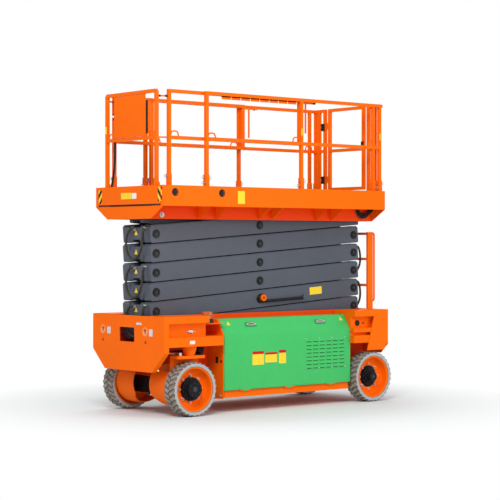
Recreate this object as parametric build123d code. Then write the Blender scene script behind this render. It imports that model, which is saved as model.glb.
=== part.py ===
"""A self-propelled electric scissor lift, in millimetres.

X points forward (the steered end), Y to the machine's left and Z up.
The origin is on the ground, under the middle of the machine.
"""
from build123d import *
from math import atan2, cos, degrees, radians, sin, sqrt, tan
import os

# Wheels and axles.
wheel_base = 2520
rear_axle_x = -1280
front_axle_x = rear_axle_x + wheel_base
tyre_diameter = 559
tyre_width = 178
tyre_shoulder = 16
tyre_inner_diameter = 455
wheel_centre_y = 545
axle_z = tyre_diameter / 2
rim_wall = 9
rim_dish = 95
rim_disc_thickness = 16
rim_lip = 7
rim_seat = 0.2
front_hub = ((120, 0, 34), (104, 34, 46), (86, 46, 91))
rear_hub = ((100, 0, 18), (78, 18, 34), (52, 34, 91))
stud_count = 8
stud_ring = 138
stud_radius = 9
stud_length = 20
spindle_radius = 45
spindle_clearance = 0.05

# Chassis.
chassis_front = 1636
chassis_rear = -1501
chassis_half_width = 636
chassis_top = 1028
plate = 10
front_flange = 58
front_chamfer_z = 658
front_plate_bottom = 456
front_plate_bottom_half = 418
window_size = (266, 150)
window_corner = 12
window_y = -17
window_z = 829
tie_hole_radius = 26
tie_hole_z = 868
tie_hole_y = (-450, 304)
rail_outer_y = 300
web_bottom = 470
front_web_x = (1440, 1578)
rear_web_x = (826, 1040)
floor_z = 745
floor_thickness = 20
rail_bottom = 665
rail_width = 70
side_beam_bottom = 717
side_beam_top = 815
top_rail_bottom = 956
side_panel_y = 560
side_beam_slant = 60
lamp_bay_front = 1060
lamp_shelf_z = 945
rear_beams = ((664, 746), (782, 827))
rear_plate_side_z = 639
rear_plate_bottom = 534
rear_plate_bottom_half = 527
rear_side_plate = ((-1491, 660), (-1440, 578), (-1180, 578), (-1287, 956), (-1491, 956))
end_plate_outline = ((310, 979), (464, 979), (565, 812), (559, 152), (400, 145), (310, 300))

# King pins, knuckles and steering.
king_pin_y = 530
king_pin_radius = 22
king_seat_radius = 52
king_boss_radii = (58, 74)
king_boss_bottom = 633
king_boss_shoulder = 690
knuckle_plate_bottom = 592
knuckle_plate_thickness = 30
knuckle_plate_y = (434, 590)
knuckle_plate_ahead = 176
knuckle_plate_corner = 24
guard_gap = 10
guard_plate = 12
guard_radius = 228
guard_rise = 30
guard_band = 10
guard_turn = (38, -130)
guard_inboard_y = 145
guard_low_y = 265
guard_cut_z = 200
motor_inboard_y = 150
motor_radius = 88
rear_leg_top = 130
rear_leg_foot = 90
rear_leg_drop = 70
rear_leg_plate = 20
rear_shelf = 15
steer_arm_length = 150
steer_arm_width = 54
tie_rod_radius = 14
tie_eye_radius = 24
cylinder_arm_length = 120
steer_barrel_radius = 24
steer_barrel_y = (-75, 218)
steer_rod_radius = 11
steer_eye_radius = 20
steering_angle = 38
running_gap = 0.05
thrust_gap = 0.4

# Side compartments and their hoods.
hood_front = 807
hood_rear = -983
hood_outer_y = 565
hood_top_y = 464
hood_top_z = 979
hood_fold_z = 812
hood_bottom = 236
hood_skin = 6
hood_inner_y = 316
tray_bottom = 159
tray_wall = 8
tray_end_gap = 14
tray_lip_inset = 20
tray_end_inset = 40
tray_end_rise = 60
hood_gap = 5
hood_hinge_y = 556
hood_hinge_radius = 9
hood_pin_radius = 4
hood_hinge_xs = (-700, -90, 520)
hinge_leaf = 44
battery_top = 620
battery_x = (-560, 420)
pump_x = (-420, 300)
pump_top = 660

# Scissor stack.
arm_length = 2792
stage_rise = 200
stage_count = 6
rear_pin_x = -1334
low_pin_z = 867
arm_depth = 178
arm_overhang = 70
arm_corner = 12
inner_beam_from = 63
inner_beam_to = 120
outer_beam_from = 125
outer_beam_to = 245
pin_radius = 25
bush_radius = 38
disc_radius = 39
disc_thickness = 9
end_plate = 10
end_plate_inset = 26
lift_angle_high = 56.1
slide_block_length = 96
slide_block_height = 60
slide_block_from = 260
track_flange = 12
track_gap = 4
shoe_end_gap = 10

# Lift cylinders.
cylinder_offset = 1200
barrel_radius = 50
barrel_wall = 8
rod_radius = 32
eye_radius = 42
eye_half_width = 34
cylinder_pin_radius = 20
gland_length = 60
gland_step = 5
eye_neck = 80
barrel_foot = 70
barrel_mouth = 240
bore_foot = 110
rod_foot = 120
rod_head = 30
ear_ring = 10
cylinder_first_stages = (0, 3)
open_middle = eye_half_width + 4
foot_ear = (60, 24)
deck_ear = (55, 24, 45)

# Platform.
platform_front = 1622
platform_rear = -1487
platform_half_width = 600
skirt_bottom = 2150
skirt_top = 2360
skirt_plate = 6
deck_top = 2240
deck_thickness = 45
ledge_width = 86
channel_y = 389
channel_plate = 8
end_plate_thickness = 8
front_plate_top = 2152
front_flange_y = 556
skirt_hole_radius = 31
skirt_hole_xs = (1473, 866)
skirt_hole_z = 2290
gusset_xs = (1008, 777, -625, -853)
gusset_plate = 8

# Guard rails.
rail_tube = 35
rail_top = 3340
mid_rail_z = rail_top - 490
main_rail_outer_y = 553
main_rail_front = 1040
main_rail_rear = -1478
post_xs = (1022, -283, -1460)
socket_size = 47
socket_height = 120
end_rail_x = -1456
end_post_ys = (-466, -366, 366, 466)
gate_from = -302
gate_to = 303
hinge_pin_y = -331
seat_gap = 0.3
hinge_heights = (skirt_top + 157, rail_top - 199)
hinge_radius = 14

# Extension.
extension_travel = 900
extension_skirt = 20
extension_deck_rear = 480
extension_deck_half = 500
extension_front_half = 550
extension_front_bottom = 2158
extension_ledge_y = (430, 508)
extension_deck_gap = 6
extension_deck_thickness = 26
runner_length = 190
extension_rail_outer_y = 502.5
extension_rail_front = 1605
extension_rail_rear = -317
extension_post_xs = (1466, 980)
extension_socket = 42
front_post_y = 436
link_radius = 8
link_drop = 70
handle_x = (-510, -300)
handle_drop = (25, 50)
handle_thickness = 12
grip_x = -390
grip_radius = 10
grip_bottom = rail_top - 371

# Control box and ladder.
panel_y = (-280, 275)
panel_z = (rail_top - 472, rail_top - 40)
control_box_depth = 130
control_box_inset = (30, 40)
control_box_rise = (40, 60)
ladder_stile = (80, 25)
ladder_y = (-330, 280)
ladder_x = -1554
ladder_tread = (44, 26)
grab_outer_x = -1636
grab_radius = 11
grab_turn = 30
grab_z = (1110, 1890)
ladder_bracket_zs = (725, 968)
ladder_bracket = 40
ladder_top = 1900
ladder_bottom = 395
ladder_rungs = (1880, 1590, 1290, 990, 700, 430)
beacon_x = 960
beacon_inset = 166
beacon_radius = 59
beacon_base = 40
beacon_flare = 10
beacon_lens = 80

# Values worked out from the sizes above.
arm_run = sqrt(arm_length**2 - stage_rise**2)
rest_angle = degrees(atan2(stage_rise, arm_run))
front_pin_x = rear_pin_x + arm_run
mid_x = (front_pin_x + rear_pin_x) / 2
high_run = arm_length * cos(radians(lift_angle_high))
slide_far_x = rear_pin_x + high_run
top_pin_z = low_pin_z + stage_count * stage_rise
bore_radius = pin_radius + running_gap
rim_face = tyre_width / 2 - rim_dish
drive_end_y = wheel_centre_y + rim_face - rim_disc_thickness - 6
knuckle_top = knuckle_plate_bottom + knuckle_plate_thickness
guard_y = wheel_centre_y - tyre_width / 2 - guard_gap


def block(x, y, z):
    """A block between two corners, each size given as a low and a high value."""
    return Pos((x[0] + x[1]) / 2, (y[0] + y[1]) / 2, (z[0] + z[1]) / 2) * Box(
        x[1] - x[0], y[1] - y[0], z[1] - z[0]
    )


def cross_bar(x, z, radius, y):
    """A round bar along Y, from the low to the high value of y."""
    return Pos(x, (y[0] + y[1]) / 2, z) * Rot(90, 0, 0) * Cylinder(radius, y[1] - y[0])


def upright(x, y, radius, z):
    """A round bar along Z, from the low to the high value of z."""
    return Pos(x, y, (z[0] + z[1]) / 2) * Cylinder(radius, z[1] - z[0])


def bar_between(start, end, radius):
    """A round bar between two points."""
    axis = Vector(*end) - Vector(*start)
    plane = Plane(origin=Vector(*start), z_dir=axis.normalized())
    return extrude(plane * Circle(radius), axis.length)


def both_sides(shape):
    """A shape and its mirror image on the other side of the machine."""
    return shape + mirror(shape, Plane.XZ)


def side_profile(points, y):
    """A plate drawn from the side as X and Z points, from the low to the high value of y."""
    face = make_face(Polyline(*[(px, y[0], pz) for px, pz in points], close=True))
    return extrude(face, y[1] - y[0], dir=(0, 1, 0))


def end_profile(points, x):
    """A plate drawn from the end as Y and Z points, from the low to the high value of x."""
    face = make_face(Polyline(*[(x[0], py, pz) for py, pz in points], close=True))
    return extrude(face, x[1] - x[0], dir=(1, 0, 0))


def save(shape, name):
    """Write one piece to its own file."""
    export_step(shape, os.path.join("parts", name + ".step"))


def tyre():
    """A solid tyre with rounded shoulders, its axis along Y at the origin."""
    outer = tyre_diameter / 2
    inner = tyre_inner_diameter / 2
    half = tyre_width / 2
    section = make_face(
        Polyline(
            (inner, -half + 6),
            (inner + 14, -half),
            (outer - tyre_shoulder, -half),
            (outer, -half + tyre_shoulder),
            (outer, half - tyre_shoulder),
            (outer - tyre_shoulder, half),
            (inner + 14, half),
            (inner, half - 6),
            close=True,
        )
    )
    return revolve(section, Axis.Y)


def rim(hub):
    """A dished rim with its stepped hub and studs, its axis along Y and its outer face to +Y."""
    seat = tyre_inner_diameter / 2 - rim_seat
    inside = seat - rim_wall
    half = tyre_width / 2 - rim_lip
    back = rim_face - rim_disc_thickness
    section = make_face(
        Polyline(
            (0, back),
            (inside, back),
            (inside, -half),
            (seat, -half),
            (seat, half),
            (inside, half),
            (inside - rim_lip, half - rim_lip),
            (inside - 2 * rim_lip, rim_face + rim_disc_thickness),
            (inside - 4 * rim_lip, rim_face),
            (0, rim_face),
            close=True,
        )
    )
    wheel = revolve(section, Axis.Y)
    for radius, start, end in hub:
        wheel += cross_bar(0, 0, radius, (rim_face + start - 1, rim_face + end))
    for turn in range(stud_count):
        angle = radians(360 / stud_count * turn)
        at = (stud_ring * cos(angle), stud_ring * sin(angle))
        wheel += cross_bar(at[0], at[1], stud_radius, (rim_face - 1, rim_face + stud_length))
    wheel -= cross_bar(0, 0, spindle_radius + spindle_clearance, (back - 1, back + rim_disc_thickness / 2))
    return wheel


def place_wheel(shape, x, side):
    """Put a wheel made at the origin on its axle, with its outer face outwards."""
    turned = shape if side > 0 else Rot(0, 0, 180) * shape
    return Pos(x, side * wheel_centre_y, axle_z) * turned


def chassis_well():
    """The middle of the frame: two rails, the walls of the arms' well, its floor and the webs by the front wheels."""
    along = (chassis_rear + plate, chassis_front - plate)
    rail = block(along, (rail_outer_y - rail_width, rail_outer_y), (rail_bottom, floor_z))
    wall = block(along, (rail_outer_y, rail_outer_y + plate), (rail_bottom, chassis_top))
    for x in (front_web_x, rear_web_x):
        wall += block(x, (rail_outer_y, rail_outer_y + plate), (web_bottom, rail_bottom + 1))
    floor = block(along, (-rail_outer_y, rail_outer_y), (floor_z - floor_thickness, floor_z))
    return floor + both_sides(rail + wall)


def front_plate():
    """The front plate with flanges turned back along its sides, its window and its tie-down holes."""
    outline = [
        (-chassis_half_width, chassis_top),
        (-chassis_half_width, front_chamfer_z),
        (-front_plate_bottom_half, front_plate_bottom),
        (front_plate_bottom_half, front_plate_bottom),
        (chassis_half_width, front_chamfer_z),
        (chassis_half_width, chassis_top),
    ]
    reach = plate * tan(atan2(chassis_half_width - front_plate_bottom_half, front_chamfer_z - front_plate_bottom) / 2)
    inside = [
        (-chassis_half_width + plate, chassis_top + 1),
        (-chassis_half_width + plate, front_chamfer_z + reach),
        (-front_plate_bottom_half + reach, front_plate_bottom + plate),
        (front_plate_bottom_half - reach, front_plate_bottom + plate),
        (chassis_half_width - plate, front_chamfer_z + reach),
        (chassis_half_width - plate, chassis_top + 1),
    ]
    shape = end_profile(outline, (chassis_front - front_flange, chassis_front))
    shape -= end_profile(inside, (chassis_front - front_flange - 1, chassis_front - plate))
    window = block(
        (chassis_front - 2 * plate, chassis_front + 1),
        (window_y - window_size[0] / 2, window_y + window_size[0] / 2),
        (window_z - window_size[1] / 2, window_z + window_size[1] / 2),
    )
    shape -= fillet(window.edges().filter_by(Axis.X), window_corner)
    for y in tie_hole_y:
        shape -= Pos(chassis_front, y, tie_hole_z) * Rot(0, 90, 0) * Cylinder(tie_hole_radius, 4 * plate)
    return shape


def rear_plate():
    """The plate across the rear of the frame, with its lower corners cut."""
    return end_profile(
        [
            (-chassis_half_width, chassis_top),
            (-chassis_half_width, rear_plate_side_z),
            (-rear_plate_bottom_half, rear_plate_bottom),
            (rear_plate_bottom_half, rear_plate_bottom),
            (chassis_half_width, rear_plate_side_z),
            (chassis_half_width, chassis_top),
        ],
        (chassis_rear, chassis_rear + plate),
    )


def front_wing():
    """The left structure over a front wheel: beam, top rail, panel, deck, the lamp's open bay and the end plate."""
    inner = rail_outer_y + plate
    x = (hood_front + hood_gap, chassis_front - front_flange)
    rail_x = (lamp_bay_front, x[1])
    bay_y = (inner, side_panel_y + plate)
    beam = Polyline(
        (x[0], inner, side_beam_bottom),
        (x[1], inner, side_beam_bottom),
        (x[1], chassis_half_width, side_beam_bottom),
        (x[0] + side_beam_slant, chassis_half_width, side_beam_bottom),
        (x[0], hood_outer_y, side_beam_bottom),
        close=True,
    )
    shape = extrude(make_face(beam), side_beam_top - side_beam_bottom, dir=(0, 0, 1))
    shape += block(rail_x, (side_panel_y, chassis_half_width), (top_rail_bottom, chassis_top))
    shape += block(rail_x, (side_panel_y, side_panel_y + plate), (side_beam_top - 1, chassis_top))
    shape += block(rail_x, (inner, chassis_half_width), (chassis_top - plate, chassis_top))
    shape += block((x[0], lamp_bay_front + 1), bay_y, (lamp_shelf_z - plate, lamp_shelf_z))
    shape += block((lamp_bay_front, lamp_bay_front + plate), bay_y, (side_beam_top - 1, chassis_top))
    return shape + end_profile(end_plate_outline, (x[0], x[0] + plate))


def rear_wing():
    """The left structure over a rear wheel: two beams, top rail, panel, front wall, deck, roof and side plate."""
    inner = rail_outer_y + plate
    x = (chassis_rear + plate, hood_rear - hood_gap)
    shape = block(x, (side_panel_y, chassis_half_width), (top_rail_bottom, chassis_top))
    shape += block(x, (side_panel_y, side_panel_y + plate), (rear_beams[0][0], chassis_top))
    shape += block(x, (inner, chassis_half_width), (chassis_top - plate, chassis_top))
    shape += block(x, (inner, chassis_half_width), (rail_bottom, rail_bottom + plate))
    shape += block((x[1] - plate, x[1]), (inner, side_panel_y + plate), (rail_bottom, chassis_top))
    for z in rear_beams:
        shape += block(x, (side_panel_y, chassis_half_width - plate), z)
    return shape + side_profile(rear_side_plate, (chassis_half_width - plate - 1, chassis_half_width))


def chassis_tracks():
    """Channels on the well's walls that the feet of the first outer arms slide in."""
    far = slide_far_x - slide_block_length
    near = front_pin_x + slide_block_length
    half = slide_block_height / 2 + track_gap
    wall = (slide_block_from, rail_outer_y)
    upper = block((far, near), wall, (low_pin_z + half, low_pin_z + half + track_flange))
    lower = block((far, near), wall, (low_pin_z - half - track_flange, low_pin_z - half))
    return both_sides(upper + lower)


def arm_foot():
    """The fixed pin of the first inner arms, with an ear on each side of them."""
    ear_top = low_pin_z + bush_radius
    ear = block(
        (rear_pin_x - foot_ear[0], rear_pin_x + foot_ear[0]),
        (outer_beam_from + 1, outer_beam_from + 1 + foot_ear[1]),
        (floor_z, ear_top),
    )
    pin_end = outer_beam_from + foot_ear[1] + disc_thickness
    pin = cross_bar(rear_pin_x, low_pin_z, pin_radius, (-pin_end, pin_end))
    return both_sides(ear) + pin


def king_post():
    """The tapered boss over a front wheel that its king pin turns in."""
    taper = king_boss_shoulder - king_boss_bottom
    boss = Pos(front_axle_x, king_pin_y, king_boss_bottom + taper / 2) * Cone(
        king_boss_radii[0], king_boss_radii[1], taper
    )
    boss += upright(front_axle_x, king_pin_y, king_boss_radii[1], (king_boss_shoulder, side_beam_bottom))
    bore = upright(
        front_axle_x, king_pin_y, king_pin_radius + running_gap, (king_boss_bottom - 1, side_beam_bottom - 12)
    )
    return boss - bore


def guard():
    """The round guard plate inboard of the left front wheel, with the band that shields its drive."""
    y = (guard_y - guard_plate, guard_y)
    middle = axle_z + guard_rise
    shape = cross_bar(front_axle_x, middle, guard_radius, y)
    shape += block(
        (front_axle_x - knuckle_plate_ahead, front_axle_x + knuckle_plate_ahead), y, (middle, knuckle_plate_bottom + 1)
    )
    ring = cross_bar(front_axle_x, middle, guard_radius, (guard_inboard_y, guard_y))
    ring -= cross_bar(front_axle_x, middle, guard_radius - guard_band, (guard_inboard_y - 1, guard_y + 1))
    far = 2 * guard_radius
    first, last = (radians(turn) for turn in guard_turn)
    kept = [
        (front_axle_x, middle),
        (front_axle_x + far * cos(first), middle + far * sin(first)),
        (front_axle_x + far, middle - far),
        (front_axle_x + far * cos(last), middle + far * sin(last)),
    ]
    ring &= side_profile(kept, (0, wheel_centre_y))
    top = middle + guard_radius
    bottom = middle - guard_radius
    cut = [(0, bottom - 1), (guard_low_y, bottom - 1), (guard_inboard_y, guard_cut_z), (guard_inboard_y, top), (0, top)]
    ring -= end_profile(cut, (front_axle_x - far, front_axle_x + far))
    return shape + ring


def knuckle():
    """The left knuckle: king pin, top plate with its steering arms, guard, and the wheel's drive."""
    seat = upright(
        front_axle_x, king_pin_y, king_seat_radius, (knuckle_plate_bottom, king_boss_bottom - thrust_gap)
    )
    pin = upright(front_axle_x, king_pin_y, king_pin_radius, (knuckle_plate_bottom, side_beam_bottom - 14))
    rear = front_axle_x - steer_arm_length - steer_arm_width / 2
    front = front_axle_x + knuckle_plate_ahead
    low_y, high_y = knuckle_plate_y
    corner = knuckle_plate_corner
    top = extrude(
        make_face(
            Polyline(
                (rear, low_y, knuckle_plate_bottom),
                (front, low_y, knuckle_plate_bottom),
                (front, high_y - corner, knuckle_plate_bottom),
                (front - corner, high_y, knuckle_plate_bottom),
                (rear + corner, high_y, knuckle_plate_bottom),
                (rear, high_y - corner, knuckle_plate_bottom),
                close=True,
            )
        ),
        knuckle_plate_thickness,
        dir=(0, 0, 1),
    )
    motor = cross_bar(front_axle_x, axle_z, motor_radius, (motor_inboard_y, drive_end_y))
    spindle = cross_bar(front_axle_x, axle_z, spindle_radius, (guard_y, drive_end_y + 12))
    hole = upright(
        front_axle_x - steer_arm_length,
        king_pin_y,
        tie_rod_radius + running_gap,
        (knuckle_plate_bottom - 1, knuckle_top + 1),
    )
    return pin + seat + top + guard() + motor + spindle - hole


def tie_rod():
    """The bar that joins the two steering arms, with a pin down into each."""
    x = front_axle_x - steer_arm_length
    z = knuckle_top + thrust_gap + tie_rod_radius + 2
    rod = bar_between((x, -king_pin_y + tie_eye_radius - 4, z), (x, king_pin_y - tie_eye_radius + 4, z), tie_rod_radius)
    for y in (-king_pin_y, king_pin_y):
        rod += upright(x, y, tie_eye_radius, (knuckle_top + thrust_gap, z + tie_rod_radius))
        rod += upright(x, y, tie_rod_radius, (knuckle_plate_bottom, z))
    return rod


def steering_barrel():
    """The steering cylinder's barrel on its bracket under the frame's floor."""
    x = front_axle_x + cylinder_arm_length
    z = knuckle_top + thrust_gap + steer_eye_radius
    body = cross_bar(x, z, steer_barrel_radius, steer_barrel_y)
    body -= cross_bar(x, z, steer_rod_radius + running_gap, (steer_barrel_y[0] + 20, steer_barrel_y[1] + 1))
    middle = (steer_barrel_y[0] + steer_barrel_y[1]) / 2
    under = floor_z - floor_thickness
    return body + block((x - 35, x + 35), (middle - 40, middle + 40), (z + steer_barrel_radius - 8, under))


def steering_rod():
    """The steering cylinder's rod with the eye that works the left knuckle."""
    x = front_axle_x + cylinder_arm_length
    low = knuckle_top + thrust_gap
    z = low + steer_eye_radius
    stem = cross_bar(x, z, steer_rod_radius, (steer_barrel_y[0] + 120, king_pin_y - steer_eye_radius + 3))
    return stem + upright(x, king_pin_y, steer_eye_radius, (low, z + steer_rod_radius))


def rear_axle():
    """The two legs under the rear of the frame and the stub axle on each."""
    leg_y = (rail_outer_y + plate, rail_outer_y + plate + rear_leg_plate)
    leg = side_profile(
        [
            (rear_axle_x - rear_leg_top, rail_bottom),
            (rear_axle_x - rear_leg_foot, axle_z - rear_leg_drop),
            (rear_axle_x + rear_leg_foot, axle_z - rear_leg_drop),
            (rear_axle_x + rear_leg_top, rail_bottom),
        ],
        leg_y,
    )
    shelf = block(
        (rear_axle_x - rear_leg_top, rear_axle_x + rear_leg_top),
        (rail_outer_y - rail_width, leg_y[1]),
        (rail_bottom - rear_shelf, rail_bottom),
    )
    brake = cross_bar(rear_axle_x, axle_z, motor_radius, (leg_y[1], drive_end_y - 40))
    spindle = cross_bar(rear_axle_x, axle_z, spindle_radius, (leg_y[1], drive_end_y + 12))
    beam = cross_bar(rear_axle_x, axle_z, spindle_radius, (-leg_y[0] - 1, leg_y[0] + 1))
    return both_sides(leg + shelf + brake + spindle) + beam


def side_tray():
    """The open tray of one side compartment, with its end walls and back."""
    x = (hood_rear + tray_end_gap, hood_front - tray_end_gap)
    inner = rail_outer_y + plate
    lip_y = hood_outer_y - tray_lip_inset
    end_y = (inner, hood_outer_y - tray_end_inset)
    end_z = (tray_bottom, hood_bottom + tray_end_rise)
    floor = block(x, (inner, lip_y), (tray_bottom, tray_bottom + tray_wall))
    lip = block(x, (lip_y - tray_wall, lip_y), (tray_bottom, hood_bottom - hood_gap))
    back = block(x, (inner, inner + tray_wall), (tray_bottom, chassis_top - tray_end_rise))
    ends = block((x[0], x[0] + tray_wall), end_y, end_z) + block((x[1] - tray_wall, x[1]), end_y, end_z)
    tray = floor + lip + back + ends
    for middle in hood_hinge_xs:
        for start in (middle - 1.5 * hinge_leaf - seat_gap, middle + 0.5 * hinge_leaf + seat_gap):
            tray += hinge_barrel((start, start + hinge_leaf), hood_hinge_radius)
            tray += block(
                (start, start + hinge_leaf),
                (lip_y - 1, hood_hinge_y),
                (hood_bottom - 2 * hood_hinge_radius + 2, hood_bottom - hood_gap),
            )
        tray += hinge_barrel((middle - 1.5 * hinge_leaf, middle + 1.5 * hinge_leaf), hood_pin_radius)
    return tray


def hinge_barrel(x, radius):
    """A round bar along X on the axis that the left hood turns about."""
    length = x[1] - x[0]
    axis_z = hood_bottom - hood_hinge_radius
    return Pos((x[0] + x[1]) / 2, hood_hinge_y, axis_z) * Rot(0, 90, 0) * Cylinder(radius, length)


def battery_pack():
    """The batteries in the left compartment, as one block."""
    y = (rail_outer_y + plate + tray_wall + seat_gap, hood_outer_y - tray_end_inset)
    return block(battery_x, y, (tray_bottom + tray_wall + seat_gap, battery_top))


def pump_unit():
    """The pump, valves and oil tank in the right compartment, as one block."""
    y = (tray_end_inset - hood_outer_y, -(rail_outer_y + plate + tray_wall + seat_gap))
    return block(pump_x, y, (tray_bottom + tray_wall + seat_gap, pump_top))


def hood():
    """The left hood: a folded skin with both ends closed, open inboard and below."""
    outline = [
        (hood_inner_y, hood_top_z),
        (hood_top_y, hood_top_z),
        (hood_outer_y, hood_fold_z),
        (hood_outer_y, hood_bottom),
        (hood_inner_y, hood_bottom),
    ]
    body = end_profile(outline, (hood_rear, hood_front))
    inside = [
        (hood_inner_y - 1, hood_top_z - hood_skin),
        (hood_top_y - 2, hood_top_z - hood_skin),
        (hood_outer_y - hood_skin, hood_fold_z - 2),
        (hood_outer_y - hood_skin, hood_bottom - 1),
        (hood_inner_y - 1, hood_bottom - 1),
    ]
    cover = body - end_profile(inside, (hood_rear + hood_skin, hood_front - hood_skin))
    for middle in hood_hinge_xs:
        x = (middle - 0.5 * hinge_leaf, middle + 0.5 * hinge_leaf)
        cover += hinge_barrel(x, hood_hinge_radius)
        cover += block(x, (hood_outer_y - hood_skin, hood_outer_y), (hood_bottom - hood_hinge_radius, hood_bottom + 1))
        cover -= hinge_barrel((x[0] - 1, x[1] + 1), hood_pin_radius + running_gap)
    return cover


def beam_outline(length):
    """The outline of one arm's beam in its own frame, with cut corners at both ends."""
    half = length / 2 + arm_overhang
    high = arm_depth / 2
    cut = arm_corner
    return [
        (-half, -high + cut),
        (-half + cut, -high),
        (half - cut, -high),
        (half, -high + cut),
        (half, high - cut),
        (half - cut, high),
        (-half + cut, high),
        (-half, high - cut),
    ]


def outer_arm(stage):
    """Both outer beams of a stage, with the pins that go through their ends and stubs at the middle."""
    half = arm_length / 2
    beam = side_profile(beam_outline(arm_length), (outer_beam_from, outer_beam_to))
    disc_y = (outer_beam_to, outer_beam_to + disc_thickness)
    near = beam
    for x in (-half, 0, half):
        near += cross_bar(x, 0, disc_radius, disc_y)
    near += cross_bar(0, 0, pin_radius, (inner_beam_from + 2, outer_beam_from + 1))
    arm = both_sides(near)
    arm += cross_bar(half, 0, pin_radius, (-outer_beam_from - 1, outer_beam_from + 1))
    if stage in [first + 1 for first in cylinder_first_stages]:
        arm += both_sides(cross_bar(-half, 0, pin_radius, (open_middle, outer_beam_from + 1)))
    else:
        arm += cross_bar(-half, 0, pin_radius, (-outer_beam_from - 1, outer_beam_from + 1))
    return arm


def slide_shoes(start):
    """Round shoes on the ends of a sliding pin, at the front of a stage's arm."""
    x = arm_length / 2
    shoe = cross_bar(x, 0, slide_block_height / 2, (slide_block_from, rail_outer_y - shoe_end_gap))
    shoe += cross_bar(x, 0, pin_radius, (start, slide_block_from + 1))
    return both_sides(shoe)


def inner_arm(stage):
    """Both inner beams of a stage, joined by the bushes at their ends."""
    half = arm_length / 2
    beam = side_profile(beam_outline(arm_length), (inner_beam_from, inner_beam_to))
    arm = both_sides(beam)
    for x in (-half, half):
        if x < 0 and stage in [first + 2 for first in cylinder_first_stages]:
            arm += both_sides(cross_bar(x, 0, bush_radius, (open_middle, inner_beam_from + 1)))
        else:
            arm += cross_bar(x, 0, bush_radius, (-inner_beam_from - 1, inner_beam_from + 1))
        end = x + (arm_overhang if x > 0 else -arm_overhang)
        face = sorted((end, end - (end_plate if x > 0 else -end_plate)))
        arm += block(face, (-inner_beam_from - 1, inner_beam_from + 1), (end_plate_inset - arm_depth / 2, arm_depth / 2 - end_plate_inset))
    cylinder_feet = [first for first in cylinder_first_stages if first == stage]
    cylinder_heads = [first for first in cylinder_first_stages if first + 2 == stage]
    for count, x in ((len(cylinder_feet), cylinder_offset), (len(cylinder_heads), -cylinder_offset)):
        if count:
            ear = cross_bar(x, 0, eye_radius + ear_ring, (eye_half_width + 1, inner_beam_from + 1))
            arm += both_sides(ear)
    if cylinder_feet:
        arm += cross_bar(cylinder_offset, 0, cylinder_pin_radius, (-inner_beam_from, inner_beam_from))
    for x in (-half, 0, half):
        arm -= cross_bar(x, 0, bore_radius, (-inner_beam_to - 1, inner_beam_to + 1))
    if stage == stage_count - 1:
        arm += cross_bar(half, 0, pin_radius + 1, (-inner_beam_to, inner_beam_to))
    return arm


def place_arm(shape, stage, slope):
    """Tilt an arm made at the origin and put it at its stage: slope 1 rises forward, -1 rearward."""
    z = low_pin_z + stage_rise * (stage + 0.5)
    return Pos(mid_x, 0, z) * Rot(0, -slope * rest_angle, 0) * shape


def cylinder_ends(first):
    """The two eye centres of a lift cylinder at rest, foot first."""
    tilt = radians(rest_angle)
    foot_z = low_pin_z + stage_rise * (first + 0.5) + cylinder_offset * sin(tilt)
    head_z = low_pin_z + stage_rise * (first + 2.5) - cylinder_offset * sin(tilt)
    run = cylinder_offset * cos(tilt)
    return Vector(mid_x + run, 0, foot_z), Vector(mid_x - run, 0, head_z)


def cylinder_frame(first):
    """The lift cylinder's own frame: origin at the foot's eye, X towards the head's eye."""
    foot, head = cylinder_ends(first)
    return Plane(origin=foot, x_dir=(head - foot).normalized(), z_dir=(0, 1, 0)), (head - foot).length


def barrel(first):
    """The barrel with its foot's eye, bored for the rod."""
    frame, length = cylinder_frame(first)
    mouth = length - barrel_mouth
    body = Pos((barrel_foot + mouth) / 2, 0, 0) * Rot(0, 90, 0) * Cylinder(barrel_radius, mouth - barrel_foot)
    gland = Pos(mouth - gland_length / 2, 0, 0) * Rot(0, 90, 0) * Cylinder(barrel_radius + gland_step, gland_length)
    neck = Pos(eye_neck / 2, 0, 0) * Box(eye_neck, 2 * eye_radius, 2 * eye_half_width)
    eye = Cylinder(eye_radius, 2 * eye_half_width)
    shape = body + gland + neck + eye
    shape -= Cylinder(cylinder_pin_radius + running_gap, 4 * eye_half_width)
    bore = Pos((bore_foot + mouth) / 2, 0, 0) * Rot(0, 90, 0) * Cylinder(
        rod_radius + running_gap, mouth - bore_foot + 2
    )
    return frame * (shape - bore)


def rod(first):
    """The rod with its head's eye, drawn into the barrel at rest."""
    frame, length = cylinder_frame(first)
    end = length - rod_head
    stem = Pos((rod_foot + end) / 2, 0, 0) * Rot(0, 90, 0) * Cylinder(rod_radius, end - rod_foot)
    eye = Pos(length, 0, 0) * Cylinder(eye_radius, 2 * eye_half_width)
    return frame * (stem + eye)


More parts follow.
